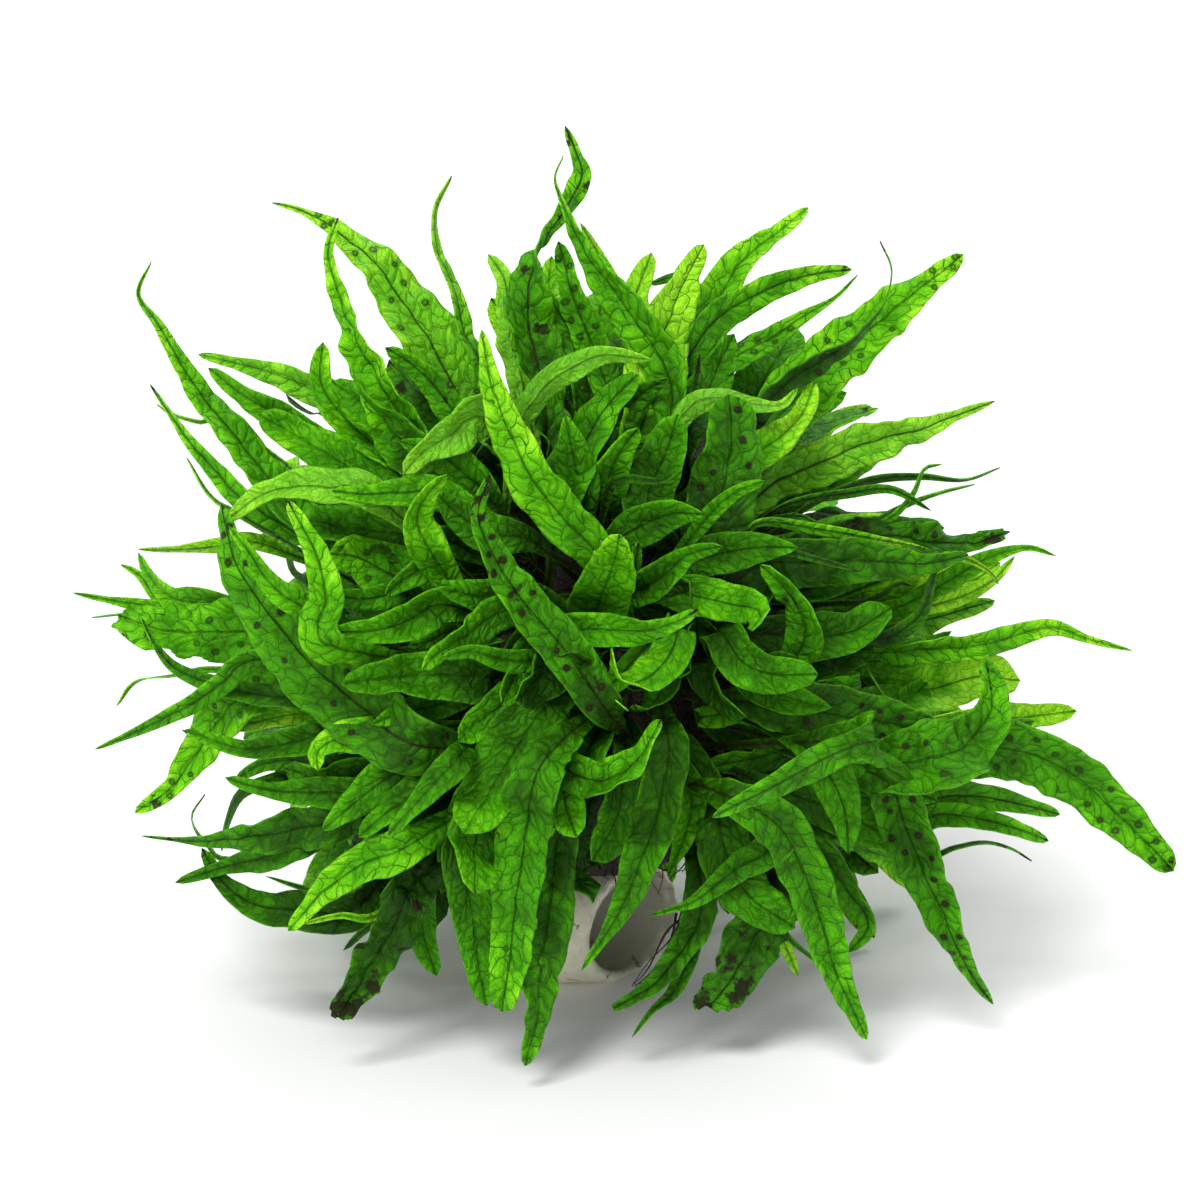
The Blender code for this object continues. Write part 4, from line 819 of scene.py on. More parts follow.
def build_inner_fronds(lines, material):
    """The fronds of the heart of the clump, between the solids."""
    random = np.random.RandomState(SEED + 20)
    blades = [make_blade("inner_%02d" % number, line, Look(frond.tone), SMALL_ROW, SMALL_COLUMNS, random)
              for number, (line, frond) in enumerate(zip(lines, INNER_FRONDS))]
    return finish_fronds(join(blades, "inner_fronds"), material)


def in_space(across, up, depth):
    """The point that is seen at a place in the picture, at a depth towards the viewer."""
    shrink = (VIEW_DISTANCE - depth) / VIEW_DISTANCE
    place = (AIM + RIGHT * (across - PICTURE_CENTRE[0]) * shrink
             + UP * (up - PICTURE_CENTRE[1]) * shrink + TOWARD * depth)
    return np.array(place)


def mat_tree():
    """The root mat's solid, for finding places on it; in metres."""
    bm = bmesh.new()
    bm.from_mesh(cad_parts["root_mat"].data)
    tree = BVHTree.FromBMesh(bm)
    bm.free()
    return tree


def on_mat(tree, direction):
    """Where a direction from the middle of the mat leaves it, in millimetres."""
    direction = Vector(direction).normalized()
    centre = Vector(MAT_CENTRE) * MM
    hit = tree.ray_cast(centre + direction * 0.2, -direction)[0]
    return np.array(hit) / MM


def inner_line(frond, tree):
    """The line of a frond of the heart of the clump, from the mat through its points."""
    depths = np.linspace(frond.inner, frond.outer, len(frond.path))
    points = [in_space(across, up, depth) for (across, up), depth in zip(frond.path, depths)]
    behind = points[0] - unit(points[1] - points[0]) * LEAD_IN
    base = on_mat(tree, behind - MAT_CENTRE)
    out = unit(base - MAT_CENTRE)
    known = np.array([base - out, base + out * 5.0] + points)
    spots = spots_on(known, 4 * len(known))
    stations = smooth(known, spots)
    stations[:, 2] = np.maximum(stations[:, 2], LOWEST)
    stalk = 1.6 / (len(known) - 1.0)
    along = clipped(spots / spots[-1], stalk, 1.0 - stalk)
    rise = np.sin(0.5 * math.pi * np.minimum(1.0, along / WIDEST)) ** 0.9
    fall = np.cos(0.5 * math.pi * clipped(along, WIDEST, 1.0 - WIDEST)) ** frond.point
    halves = 0.5 * (STALK * (1.0 - rise) + frond.width * rise * np.clip(fall, 0.0, 1.0))
    tangents = unit(np.gradient(stations, axis=0))
    across = np.cross(np.array(TOWARD), tangents[len(tangents) // 2])
    turn = math.radians(frond.roll)
    side = math.cos(turn) * unit(across) + math.sin(turn) * np.array(TOWARD)
    sides = square_to(side, tangents)
    faces = np.cross(tangents, sides)
    return Line(stations[:-1], halves[:-1], sides[:-1], faces[:-1], stations[-1])


class Crowd:
    """Which places the fronds fill, in small cubes."""

    def __init__(self):
        self.filled = set()

    def cells(self, line, first=0):
        centres = np.vstack((line.centres, line.tip))
        spots = spots_on(centres, CROWD_ROWS, first)
        places = smooth(centres, spots)
        halves = np.interp(spots, range(len(centres)), np.append(line.halves, 0.0))
        sides = smooth(held(line.sides), spots)
        across = np.linspace(-1.0, 1.0, CROWD_COLUMNS)[None, :, None]
        spread = places[:, None, :] + sides[:, None, :] * halves[:, None, None] * across
        return {tuple(cell) for cell in np.floor(spread.reshape(-1, 3) / CROWD_CELL).astype(int)}

    def add(self, line):
        self.filled |= self.cells(line)

    def meets(self, line):
        cells = self.cells(line, 2)
        return len(cells & self.filled) / len(cells)


def turned(vectors, axis, angle):
    """Vectors turned about an axis by an angle in radians."""
    along = np.sum(vectors * axis, axis=-1, keepdims=True) * axis
    return along + (vectors - along) * math.cos(angle) + np.cross(axis, vectors) * math.sin(angle)


def sibling(line, random):
    """A shorter frond beside another, from the same root."""
    base = line.centres[0]
    axis = unit(random.normal(0.0, 1.0, 3))
    angle = math.radians(random.uniform(*SIBLING_ANGLE))
    size = random.uniform(*SIBLING_SIZE)
    centres = base + turned(line.centres - base, axis, angle) * size
    tip = base + turned(line.tip - base, axis, angle) * size
    halves = np.maximum(line.halves * random.uniform(*SIBLING_WIDTH), 0.5 * STALK)
    return Line(centres, halves, turned(line.sides, axis, angle), turned(line.faces, axis, angle), tip)


def hides_mat(places):
    """True where one of the places is seen in front of a gap that shows the root mat."""
    seen = [seen_at(place) for place in places if place[1] < MAT_CENTRE[1]]
    return any(np.hypot(spot[0] - across, spot[1] - up) < reach
               for spot in seen for across, up, reach in MAT_SHOWS)


def fits(line):
    """True where a sibling stays above the surface, out of the tube's way and off the mat's inside."""
    places = np.vstack((line.centres[2:], line.tip))
    if places[:, 2].min() < LOWEST + 2.0:
        return False
    in_way = ((np.abs(places[:, 1]) < TUBE_RADIUS) & (places[:, 2] < TUBE_AXIS_HEIGHT + TUBE_RADIUS)
              & (np.abs(places[:, 0] - MAT_CENTRE[0]) < WAY_REACH))
    inside = np.sum(((places - MAT_CENTRE) / MAT_RADII) ** 2, axis=1) < 1.1
    return not (in_way.any() or inside.any() or hides_mat(places))


def siblings_of(lines, crowd, random, wanted):
    """Shorter fronds that fill the gaps beside the given ones."""
    found = []
    for line in lines * 2:
        trials = [sibling(line, random) for _ in range(SIBLING_TRIALS)]
        trials = [trial for trial in trials if fits(trial)]
        if not trials:
            continue
        best = min(trials, key=crowd.meets)
        if crowd.meets(best) < MOST_MET:
            crowd.add(best)
            found.append(best)
        if len(found) == wanted:
            break
    return found


def stem_line(tree, number):
    """The middle line of a creeping stem on the mat, as its solid has it."""
    heading = -90.0 + 360.0 * number / len(STEM_NAMES)
    shares = np.linspace(0.0, 1.0, STEM_RINGS)
    slopes = np.radians(STEM_FIRST_ANGLE + (STEM_LAST_ANGLE - STEM_FIRST_ANGLE) * shares)
    wander = np.radians(heading + STEM_SPIRAL * (shares - 0.5) + STEM_WAVE * np.sin(5.0 * shares + number))
    directions = np.stack((np.sin(slopes) * np.cos(wander), np.sin(slopes) * np.sin(wander),
                           np.cos(slopes)), axis=1)
    places = np.array([on_mat(tree, direction) for direction in directions])
    return places + directions * STEM_LIFT


def build_rhizome(name, number, tree, material):
    """A creeping stem: a knobbly rod with the scars and stubs of old fronds."""
    random = np.random.RandomState(SEED + 100 + number)
    line = stem_line(tree, number)
    spots = spots_on(line, RHIZOME_RINGS)
    places = smooth(line, spots)
    shares = spots / spots[-1]
    radii = STEM_RADIUS + (STEM_END_RADIUS - STEM_RADIUS) * shares
    radii = radii * np.sqrt(np.clip(1.0 - np.abs(2.0 * shares - 1.0) ** 24, 0.0, 1.0))
    tangents = unit(np.gradient(places, axis=0))
    outward = unit(places - MAT_CENTRE)
    sides = unit(np.cross(tangents, outward))
    upward = np.cross(sides, tangents)
    angles = np.linspace(0.0, 2.0 * math.pi, RHIZOME_SIDES + 1)[None, :, None]
    knobs = value_noise(np.cos(angles[..., 0]) * 2.0 * np.ones((len(spots), 1)),
                        spots[:, None] * SCAR_STEP + np.sin(angles[..., 0]) * 2.0, random, SCAR_CELL)
    girth = (radii[:, None] * (0.86 + 0.3 * knobs))[..., None]
    rim = sides[:, None, :] * np.cos(angles) + upward[:, None, :] * np.sin(angles)
    rod = sheet(name.replace("creeping_stem", "rhizome"), places[:, None, :] + rim * girth)
    with editing(rod):
        bpy.ops.mesh.remove_doubles(threshold=0.02 * MM)
        bpy.ops.mesh.normals_make_consistent(inside=False)
    bpy.ops.object.shade_smooth()
    return finish(rod, material, name)


def solid_copy(name, new_name):
    """A merged copy of a node's solid, to be worked on."""
    copy = place_in_scene(new_name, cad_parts[name].data.copy())
    copy.data.materials.clear()
    with editing(copy):
        bpy.ops.mesh.remove_doubles(threshold=0.01 * MM)
    return copy


def clouds(name, size):
    """A cloudy texture with features of a size in millimetres, for displacing a surface."""
    texture = bpy.data.textures.new(name, "CLOUDS")
    texture.noise_scale = size * MM
    texture.noise_depth = 2
    return texture


def build_mat(material):
    """The felted core of the root mat."""
    core = solid_copy("root_mat", "root_felt")
    apply(core, "REMESH", mode="VOXEL", voxel_size=MAT_GRAIN * MM, use_smooth_shade=True)
    apply(core, "SMOOTH", factor=0.5, iterations=4)
    apply(core, "DISPLACE", texture=clouds("mat lumps", 7.0), strength=MAT_LUMPS * MM, mid_level=0.62)
    apply(core, "DISPLACE", texture=clouds("mat fuzz", 1.6), strength=MAT_FUZZ * MM, mid_level=0.6)
    return finish(core, material, "root_mat")


def root_path(start, out, length, random):
    """A root that leaves the mat and wanders over it, pulled down by its weight."""
    path = [start - out * 0.8]
    heading = unit(out + 1.1 * random.normal(0.0, 1.0, 3))
    curl = random.normal(0.0, ROOT_CURL, 3)
    step = length / ROOT_STEPS
    for _ in range(ROOT_STEPS):
        path.append(path[-1] + heading * step)
        swerve = curl + random.normal(0.0, ROOT_SWERVE, 3) + ROOT_SAG
        away = np.sum(((path[-1] - MAT_CENTRE) / (MAT_RADII + 3.0)) ** 2) - 1.0
        heading = unit(heading + swerve - ROOT_HOLD * out * np.clip(away * 4.0, -1.0, 1.0))
    return np.array(path)


def in_way(path):
    """True where a root would hang before the way through the tube."""
    beside = np.abs(path[:, 1]) < TUBE_RADIUS + WAY_ROOM
    low = path[:, 2] < TUBE_AXIS_HEIGHT + TUBE_RADIUS + WAY_ROOM
    return (beside & low).any()


def add_strand(curve, path, radius):
    """One open strand of a curve, thinning to its end."""
    spline = curve.splines.new("POLY")
    spline.points.add(len(path) - 1)
    flat = np.hstack((path * MM, np.ones((len(path), 1))))
    spline.points.foreach_set("co", flat.astype(np.float32).ravel())
    taper = radius * np.linspace(1.0, ROOT_END, len(path))
    spline.points.foreach_set("radius", taper.astype(np.float32))


def build_roots(core, material):
    """Hundreds of fine roots over the mat, and a few long ones by the tube."""
    random = np.random.RandomState(SEED + 31)
    places = np.array([vert.co for vert in core.data.vertices]) / MM
    outs = np.array([vert.normal for vert in core.data.vertices])
    curve = bpy.data.curves.new("fine_roots", "CURVE")
    curve.dimensions = "3D"
    curve.bevel_depth = 1.0 * MM
    curve.bevel_resolution = 0
    for index in random.choice(len(places), ROOT_COUNT, replace=False):
        path = root_path(places[index], outs[index], random.uniform(*ROOT_LENGTH), random)
        path[:, 2] = np.maximum(path[:, 2], 1.0)
        if not in_way(path):
            add_strand(curve, path, random.uniform(*ROOT_RADIUS))
    for path, thickness in LONG_ROOTS:
        spots = spots_on(path, 5 * len(path))
        known = np.array([in_space(*place) for place in path])
        for _ in range(LONG_ROOT_STRANDS):
            strand = smooth(known + random.normal(0.0, LONG_ROOT_SPREAD, known.shape), spots)
            strand[:, 2] = np.maximum(strand[:, 2], 0.6)
            add_strand(curve, strand, thickness * random.uniform(0.6, 1.1))
    take(place_in_scene("fine_roots", curve))
    bpy.ops.object.convert(target="MESH")
    return finish(bpy.context.active_object, material)


def cut(piece, place, normal, fill=False):
    """Cut the piece by a plane and drop what is in front of it."""
    with editing(piece):
        bpy.ops.mesh.bisect(plane_co=Vector(place) * MM, plane_no=Vector(normal).normalized(),
                            use_fill=fill, clear_outer=True)


def mark_rims(tube, ends):
    """A vertex group that is full at the tube's ends and fades away from them."""
    rim = tube.vertex_groups.new(name="rim")
    for vert in tube.data.vertices:
        place = np.array(vert.co) / MM
        for end, slant, away in ends:
            depth = away * (end + slant * place[1] - place[0])
            if depth < RIM_DEPTH:
                rim.add([vert.index], 1.0 - max(0.0, depth) / RIM_DEPTH, "REPLACE")


def build_tube(material):
    """The fired clay tube, with slanting worn ends and a flat underside."""
    deselect()
    bpy.ops.mesh.primitive_cylinder_add(vertices=TUBE_SIDES, radius=TUBE_RADIUS * MM, depth=TUBE_BLANK * MM,
                                        end_fill_type="NOTHING", location=(0.0, 0.0, TUBE_AXIS_HEIGHT * MM),
                                        rotation=(0.0, 0.5 * math.pi, 0.0))
    tube = bpy.context.active_object
    tube.name = "clay_tube"
    bpy.ops.object.transform_apply(location=True, rotation=True, scale=True)
    ends = [(end, slant, away) for (end, slant), away in zip(TUBE_ENDS, (1.0, -1.0))]
    for end, slant, away in ends:
        cut(tube, (end, 0.0, TUBE_AXIS_HEIGHT), (away, -away * slant, 0.0))
    apply(tube, "SOLIDIFY", thickness=TUBE_WALL * MM, offset=-1.0)
    cut(tube, (0.0, 0.0, 0.0), (0.0, 0.0, -1.0), fill=True)
    apply(tube, "REMESH", mode="VOXEL", voxel_size=TUBE_GRAIN * MM, use_smooth_shade=True)
    apply(tube, "SMOOTH", factor=0.5, iterations=3)
    mark_rims(tube, ends)
    apply(tube, "DISPLACE", texture=clouds("worn rim", 4.0), strength=RIM_WEAR * MM, mid_level=0.72,
          vertex_group="rim")
    apply(tube, "DISPLACE", texture=clouds("uneven clay", 9.0), strength=CLAY_WEAR * MM, mid_level=0.6)
    for vert in tube.data.vertices:
        vert.co.z = max(vert.co.z, 0.0)
    return finish(tube, material, "holder_tube")


class Value:
    """A number or a colour that a node gives, so that sums of them are written as sums."""

    def __init__(self, nodes, socket):
        self.nodes = nodes
        self.socket = socket

    def __add__(self, other):
        return self.nodes.math("ADD", self, other)

    def __sub__(self, other):
        return self.nodes.math("SUBTRACT", self, other)

    def __rsub__(self, other):
        return self.nodes.math("SUBTRACT", other, self)

    def __mul__(self, other):
        return self.nodes.math("MULTIPLY", self, other)

    def __truediv__(self, other):
        return self.nodes.math("DIVIDE", self, other)

    def __rtruediv__(self, other):
        return self.nodes.math("DIVIDE", other, self)

    def __abs__(self):
        return self.nodes.math("ABSOLUTE", self)


class Nodes:
    """Short ways to lay out the nodes of a material or of a shared group."""

    def __init__(self, tree):
        self.tree = tree

    def link(self, value, socket):
        """Join a node's value to a socket, or set the socket to a number or a colour."""
        if isinstance(value, Value):
            self.tree.links.new(value.socket, socket)
        else:
            socket.default_value = (*value, 1.0) if isinstance(value, tuple) else value

    def add(self, kind, inputs, **settings):
        """A new node with the given values at its inputs, by name or by number."""
        node = self.tree.nodes.new("ShaderNode" + kind)
        for key, value in settings.items():
            setattr(node, key, value)
        for key, value in inputs.items():
            self.link(value, node.inputs[key])
        return node

    def value(self, key, kind, inputs, **settings):
        """One of the values that a new node gives."""
        return Value(self, self.add(kind, inputs, **settings).outputs[key])

    def values(self, outputs):
        """All the values that a node gives, by their names."""
        return {socket.name: Value(self, socket) for socket in outputs}

    def math(self, operation, *numbers, clamp=False):
        return self.value(0, "Math", dict(enumerate(numbers)), operation=operation, use_clamp=clamp)

    def step(self, value, low, high):
        """A smooth step: 0 at low, 1 at high."""
        return self.value("Result", "MapRange", {"Value": value, "From Min": low, "From Max": high},
                          interpolation_type="SMOOTHSTEP", clamp=True)

    def mix(self, share, a, b):
        """The first colour, with a share of the second."""
        return self.value(2, "Mix", {0: share, 6: a, 7: b}, data_type="RGBA", clamp_factor=True)

    def ramp(self, value, stops):
        node = self.add("ValToRGB", {"Fac": value})
        elements = node.color_ramp.elements
        while len(elements) < len(stops):
            elements.new(0.5)
        for element, (place, colour) in zip(elements, stops):
            element.position = place
            element.color = (*colour, 1.0)
        return Value(self, node.outputs["Color"])

    def split(self, value, kind="XYZ"):
        """The three parts of a vector or of a colour."""
        return tuple(self.values(self.add("Separate" + kind, {0: value}).outputs).values())

    def pair(self, name):
        """The two numbers of one of the piece's UV maps."""
        return self.split(self.value("UV", "UVMap", {}, uv_map=name))[:2]

    def vector(self, x, y, z=0.0):
        return self.value(0, "CombineXYZ", {0: x, 1: y, 2: z})

    def noise(self, vector, scale, detail=2.0, roughness=0.5):
        return self.value("Fac", "TexNoise", {"Vector": vector, "Scale": scale, "Detail": detail,
                                              "Roughness": roughness})

    def edge_distance(self, vector, scale, randomness=1.0, dimensions="3D"):
        """How far a place is from the edge of its cell."""
        return self.value("Distance", "TexVoronoi",
                          {"Vector": vector, "Scale": scale, "Randomness": randomness},
                          feature="DISTANCE_TO_EDGE", voronoi_dimensions=dimensions)

    def length(self, x, y):
        return self.math("SQRT", x * x + y * y)

    def place(self):
        return self.value("Object", "TexCoord", {})

    def group(self, name, **inputs):
        """The values that a shared group gives."""
        return self.values(self.add("Group", inputs, node_tree=bpy.data.node_groups[name]).outputs)

    def give(self, **outputs):
        """End a shared group with its named values."""
        for name in outputs:
            self.tree.interface.new_socket(name, in_out="OUTPUT", socket_type="NodeSocketFloat")
        end = self.tree.nodes.new("NodeGroupOutput")
        for name, value in outputs.items():
            self.link(value, end.inputs[name])


def new_group(name, **inputs):
    """A shared group of nodes and what it is given: numbers with their first values, or a vector."""
    tree = bpy.data.node_groups.new(name, "ShaderNodeTree")
    for socket, value in inputs.items():
        kind = "NodeSocketVector" if value is None else "NodeSocketFloat"
        made = tree.interface.new_socket(socket, in_out="INPUT", socket_type=kind)
        if value is not None:
            made.default_value = value
    n = Nodes(tree)
    return n, n.values(tree.nodes.new("NodeGroupInput").outputs)


def make_mottle():
    """Uneven tone, as every grown or fired surface here has it: a broad and a fine one."""
    n, given = new_group("mottle", Vector=None, Size=1.0, Contrast=1.0)
    scale = 1.0 / given["Size"]
    broad = n.noise(given["Vector"], scale, 3.0, 0.55)
    fine = n.noise(given["Vector"], scale * 7.0, 2.0, 0.6)
    broad, fine = (n.math("ADD", (value - 0.5) * (given["Contrast"] * 2.0), 0.5, clamp=True)
                   for value in (broad, fine))
    n.give(Broad=broad, Fine=fine)


def make_vein_net():
    """A frond's net of veins: bent cells that lean away from the midrib, domed between the veins."""
    n, given = new_group("vein net", Across=0.0, Along=0.0, Cell=MAIN_CELL)
    x, s, cell = (given[name] for name in ("Across", "Along", "Cell"))
    bend = n.value("Color", "TexNoise", {"Vector": n.vector(x, s), "Scale": 0.8 / cell, "Detail": 0.0},
                   noise_dimensions="2D")
    red, green, _ = n.split(bend, "Color")
    lean = s - abs(x) * VEIN_SLANT
    place = n.vector(x / cell + (red - 0.5) * 0.9, lean / (cell * 1.15) + (green - 0.5) * 0.9)
    coarse = n.edge_distance(place, 1.0, 0.7, "2D")
    fine = n.edge_distance(place, 3.1, 1.0, "2D")
    n.give(Vein=n.step(coarse, 0.058, 0.01), Web=n.step(fine, 0.1, 0.02), Dome=n.step(coarse, 0.0, 0.36))


def make_sori():
    """The brown spots of a fertile frond, in two wandering rows beside its midrib."""
    n, given = new_group("sori", Across=0.0, Along=0.0, Edge=0.0, Share=0.0, Reach=0.0)
    out = abs(given["Across"])
    sign = n.math("SIGN", given["Edge"])
    beat = given["Along"] / SORUS_STEP + sign * 0.27
    chance = n.value("Color", "TexWhiteNoise", {"Vector": n.vector(n.math("FLOOR", beat), sign)},
                     noise_dimensions="2D")
    sideways, forwards, luck = n.split(chance, "Color")
    half = out / n.math("MAXIMUM", abs(given["Edge"]), 0.02)
    away_x = out - half * (sideways * 0.4 + 0.28)
    away_s = (n.math("FRACT", beat) - (forwards * 0.5 + 0.25)) * SORUS_STEP
    ragged = n.noise(n.vector(given["Across"], given["Along"]), 14.0, 1.0)
    away = n.length(away_x, away_s) + (ragged - 0.5) * 0.07
    size = luck * 0.07 + 0.03
    spot = n.step(away, size + 0.03, size)
    halo = n.step(away, size + 0.1, size + 0.02)
    reach = n.step(given["Reach"] - abs(given["Share"] - 0.62), 0.28, 0.4)
    there = n.math("GREATER_THAN", luck, 0.46)
    n.give(Spot=spot * reach * there, Halo=halo * reach * there,
           Middle=n.step(away, size * 0.8, size * 0.2))


def new_material(name):
    material = bpy.data.materials.new(name)
    material.use_nodes = True
    return material, Nodes(material.node_tree), material.node_tree.nodes["Principled BSDF"]


def lay(n, shader, colour, roughness, height, depth, strength=1.0):
    """Join a colour, a roughness and a relief to the material's shader."""
    relief = {"Height": height, "Distance": depth * MM, "Strength": strength}
    n.link(colour, shader.inputs["Base Color"])
    n.link(roughness, shader.inputs["Roughness"])
    n.link(n.value("Normal", "Bump", relief), shader.inputs["Normal"])


def make_leaf(name, cell, veins):
    """The veined green of the fronds, with spots, spoilt places, and painted light and shade: lighter tips,
    a darker base.
    """
    material, n, shader = new_material(name)
    x, s = n.pair("blade")
    across, share = n.pair("span")
    tone, sori = n.pair("tone")
    brown, own = n.pair("wear")
    pale = n.pair("bloom")[0]
    edge = abs(across)
    out = abs(x)
    here = n.vector(x, s, own * 7.0)
    net = n.group("vein net", Across=x, Along=s, Cell=cell)
    broad = n.group("mottle", Vector=here, Size=1.1, Contrast=1.0)["Broad"]
    rib = n.step(out, 0.042, 0.016)

    # The green, with painted light and shade: the tip, the margin and the tops of the domes painted lighter
    # as lit, the base darker as shaded, and each frond's tone darker deep in the clump; darker in the veins
    # and along the midrib, as the fronds are
    light = (tone * 0.8 + (share - 0.5) * 0.58 + edge * edge * 0.14 + (broad - 0.5) * 0.4
             + net["Dome"] * 0.07)
    colour = n.mix(pale * 0.55, n.ramp(light, GREENS), PALE_GREEN)
    deep = n.ramp(light * 0.42, GREENS)
    colour = n.mix(net["Web"] * 0.3, colour, deep)
    colour = n.mix(net["Vein"] * ((broad * 0.7 - pale * 0.35 + 0.5) * veins), colour, deep)
    # Painted light: the thin margin drawn towards a lighter green on the darker fronds, as lit through
    colour = n.mix(n.step(edge, 0.9, 1.0) * 0.3, colour, EDGE_GLOW_GREEN)
    colour = n.mix(rib * (own * 0.4 + veins * 0.4), colour, MIDRIB_AND_BASE_SHADE_DARK)
    # Painted shade: the base of each blade darkened towards near black, where the fronds crowd at the heart
    # of the clump
    colour = n.mix(n.step(share, 0.3, 0.1) * 0.7, colour, MIDRIB_AND_BASE_SHADE_DARK)
    reach = n.step(share, own * 0.3 + 0.42, 0.12)
    colour = n.mix(n.step(out, 0.085, 0.02) * reach * 0.75, colour, RIB_BROWN)

    # The spots, brown on a dark frond and green on a young one
    young = n.step(tone, 0.38, 0.5)
    spots = n.group("sori", Across=x, Along=s, Edge=across, Share=share, Reach=sori)
    colour = n.mix(spots["Halo"] * 0.45, colour, deep)
    brown_sorus = n.mix(spots["Middle"] * 0.3, SORUS_BROWN, SORUS_MIDDLE)
    green_sorus = n.mix(spots["Middle"], deep, colour)
    sorus = n.mix(young * 0.75, brown_sorus, green_sorus)
    colour = n.mix(spots["Spot"] * 0.95, colour, sorus)

    # The spoilt places, more of them at the midrib and the tip
    rot = n.noise(n.vector(x, s, own * 23.0), 1.2, 4.0, 0.62)
    rot = rot + rib * 0.06 + n.step(share, 0.85, 1.0) * 0.12
    limit = 0.72 - brown * 0.15
    spoilt = n.step(rot - limit, -0.015, 0.05) * n.step(brown, 0.02, 0.1)
    colour = n.mix(spoilt * 0.93, colour, SPOILT_BROWN)

    # The relief and the shine
    creases = n.noise(n.vector(x * 9.0, s * 2.2, own), 2.2, 4.0, 0.65)
    grain = n.noise(here, 16.0, 2.0, 0.6)
    height = (net["Dome"] * 0.8 - rib * 0.7 + spots["Spot"] * 0.5 + creases * 0.8 + grain * 0.3
              - net["Web"] * 0.2)
    shader.inputs["Specular IOR Level"].default_value = LEAF_SHINE
    n.link(SHINE_TINT, shader.inputs["Specular Tint"])
    lay(n, shader, colour, broad * 0.16 + spoilt * 0.3 + 0.28, height, 0.7, 0.95)
    return material


def make_root():
    """The dark purple-brown of the roots, with a few lighter strands."""
    material, n, shader = new_material("root_fibre")
    mottle = n.group("mottle", Vector=n.place(), Size=6.0 * MM, Contrast=1.3)
    colour = n.mix(mottle["Broad"], ROOT_DARK, ROOT_PURPLE)
    colour = n.mix(n.step(mottle["Fine"], 0.72, 0.9) * 0.5, colour, ROOT_LIGHT)
    lay(n, shader, colour, mottle["Fine"] * 0.2 + 0.68, mottle["Fine"], 0.4)
    return material


def make_rhizome():
    """The creeping stems: green under dark brown scales."""
    material, n, shader = new_material("rhizome_skin")
    mottle = n.group("mottle", Vector=n.place(), Size=3.0 * MM, Contrast=1.6)
    colour = n.mix(n.step(mottle["Broad"], 0.45, 0.75), RHIZOME_BROWN, RHIZOME_GREEN)
    colour = n.mix(n.step(mottle["Fine"], 0.6, 0.8) * 0.7, colour, ROOT_DARK)
    lay(n, shader, colour, mottle["Broad"] * 0.2 + 0.5, mottle["Broad"] + mottle["Fine"] * 0.5, 0.6)
    return material


def make_clay():
    """The pale fired clay of the tube, stained, with a few hairline cracks, and painted shade inside its
    bore.
    """
    material, n, shader = new_material("fired_clay")
    place = n.place()
    x, y, z = n.split(place)
    mottle = n.group("mottle", Vector=place, Size=14.0 * MM, Contrast=1.2)
    broad = mottle["Broad"]
    fine = mottle["Fine"]
    grain = n.noise(place, 2.2 / MM, 3.0, 0.6)
    colour = n.mix(broad, CLAY_STAINED, CLAY_PALE)
    colour = n.mix(n.step(fine, 0.66, 0.9) * 0.35, colour, CLAY_GREY)
    colour = n.mix(n.step(broad, 0.62, 0.9) * 0.3, colour, CLAY_ALGAE)
    wobble = (fine - 0.5) * (3.0 * MM)
    crack = n.edge_distance(n.vector(x + wobble, y + wobble, z), 0.03 / MM)
    line = n.step(crack, 0.008, 0.003) * n.step(broad, 0.56, 0.64)
    colour = n.mix(line * 0.8, colour, ROOT_DARK)
    # Painted shade: the inside of the bore darkened, where little light reaches
    from_axis = n.length(z - TUBE_AXIS_HEIGHT * MM, y)
    in_bore_shade = n.step(from_axis, (TUBE_RADIUS - 0.7) * MM, (TUBE_RADIUS - TUBE_WALL) * MM)
    colour = n.mix(in_bore_shade * 0.7, colour, CLAY_BORE_SHADE)
    lay(n, shader, colour, fine * 0.2 + 0.5, grain * 0.5 + fine * 0.5 - line * 1.5, 0.25, 0.7)
    return material


def make_floor():
    """The plain pale ground."""
    material, n, shader = new_material("studio_floor")
    mottle = n.group("mottle", Vector=n.place(), Size=0.4, Contrast=0.6)
    colour = n.mix(mottle["Broad"], FLOOR_GREY, FLOOR_WHITE)
    lay(n, shader, colour, mottle["Fine"] * 0.1 + 0.85, mottle["Fine"], 0.05)
    return material


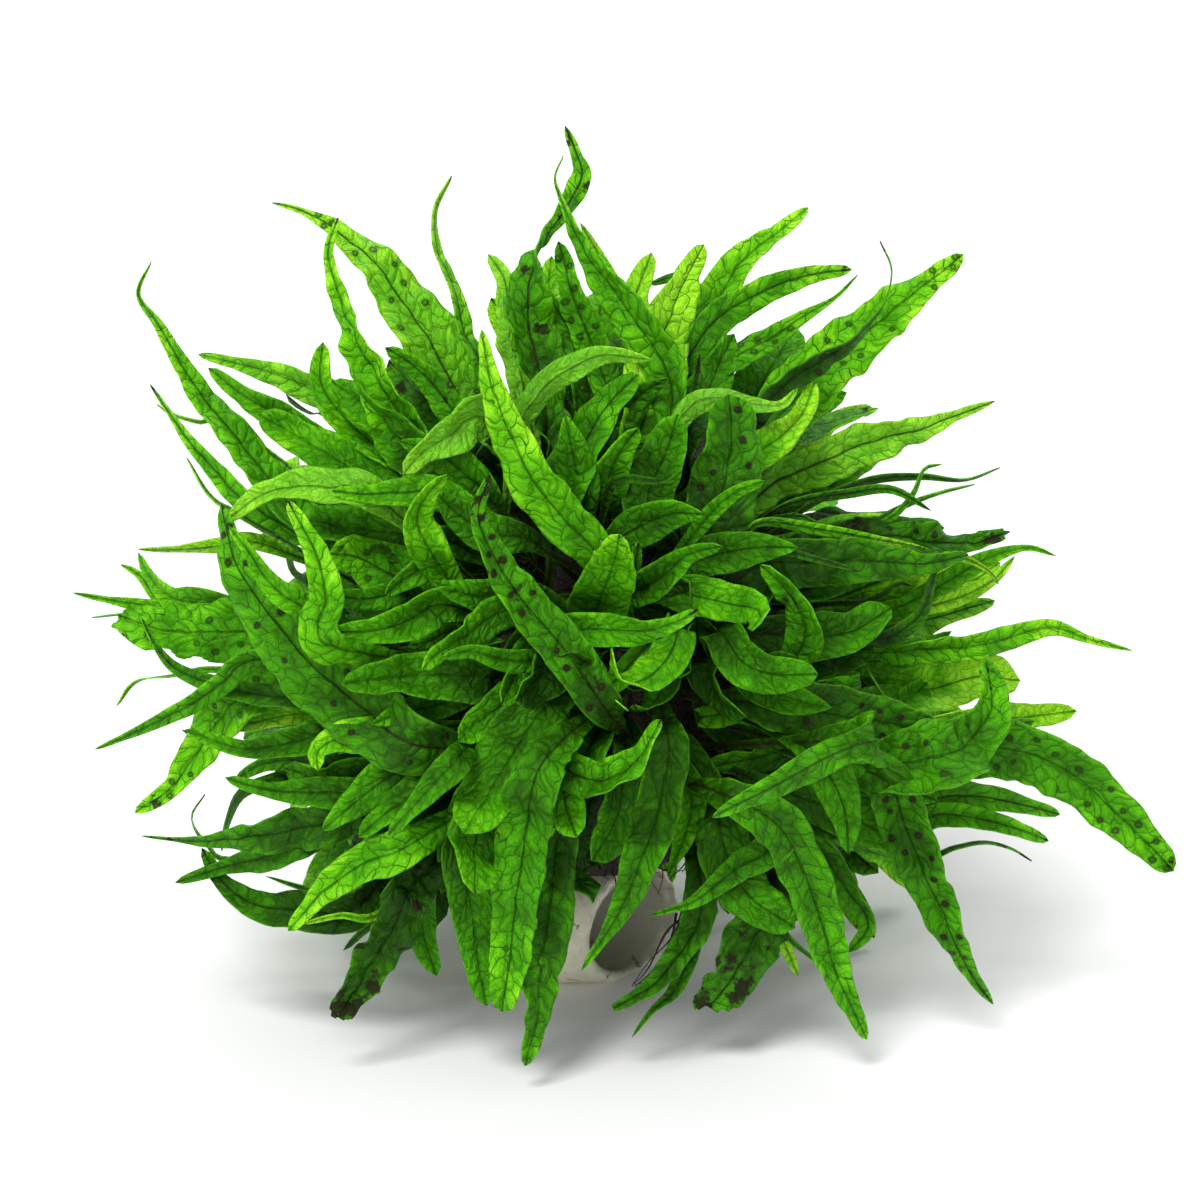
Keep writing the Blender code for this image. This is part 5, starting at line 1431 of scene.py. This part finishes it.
def build_stage():
    """A plain pale floor, soft light and the camera at the photograph's angle."""
    deselect()
    bpy.ops.mesh.primitive_plane_add(size=FLOOR_SIZE, location=(0.0, 0.0, 0.0))
    floor = bpy.context.active_object
    floor.name = "studio_floor"
    floor.data.materials.append(make_floor())

    scene = bpy.context.scene
    scene.world = bpy.data.worlds.new("studio_light")
    scene.world.use_nodes = True
    sky = scene.world.node_tree.nodes["Background"].inputs
    sky["Color"].default_value = (1.0, 1.0, 1.0, 1.0)
    sky["Strength"].default_value = WORLD_LIGHT
    for name, direction, strength in LAMPS:
        lamp = place_in_scene(name, bpy.data.lights.new(name, "SUN"))
        lamp.data.angle = LAMP_ANGLE
        lamp.data.energy = strength
        lamp.rotation_euler = Vector(direction).to_track_quat("Z", "Y").to_euler()

    camera = place_in_scene("camera", bpy.data.cameras.new("camera"))
    camera.data.lens = LENS
    camera.data.sensor_width = SENSOR
    camera.location = (AIM + TOWARD * VIEW_DISTANCE) * MM
    camera.rotation_euler = TOWARD.to_track_quat("Z", "Y").to_euler()
    scene.camera = camera
    scene.view_settings.view_transform = "Standard"


def build():
    """All the pieces of the clump, from their solids, and the stage that they stand on."""
    deselect()
    make_mottle()
    make_vein_net()
    make_sori()
    leaf = make_leaf("frond_leaf", MAIN_CELL, MAIN_VEINS)
    small_leaf = make_leaf("small_frond_leaf", SMALL_CELL, SMALL_VEINS)
    rhizome = make_rhizome()
    root = make_root()
    tree = mat_tree()

    main = {name: lines_in(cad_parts[name])[0] for name in sorted(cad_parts)
            if name.startswith("frond_")}
    small = {name: lines_in(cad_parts[name]) for name in STEM_NAMES}
    inner = [inner_line(frond, tree) for frond in INNER_FRONDS]
    crowd = Crowd()
    for line in list(main.values()) + [line for lines in small.values() for line in lines] + inner:
        crowd.add(line)

    for name, line in main.items():
        build_main_frond(name, line, leaf)
    for number, (name, lines) in enumerate(small.items()):
        random = np.random.RandomState(SEED + 50 + number)
        extra = siblings_of(lines, crowd, random, SIBLINGS_EACH)
        build_small_fronds(name, lines, extra, small_leaf)
        build_rhizome(name, number, tree, rhizome)
    build_inner_fronds(inner, small_leaf)
    core = build_mat(root)
    build_roots(core, root)
    build_tube(make_clay())
    build_stage()


build()
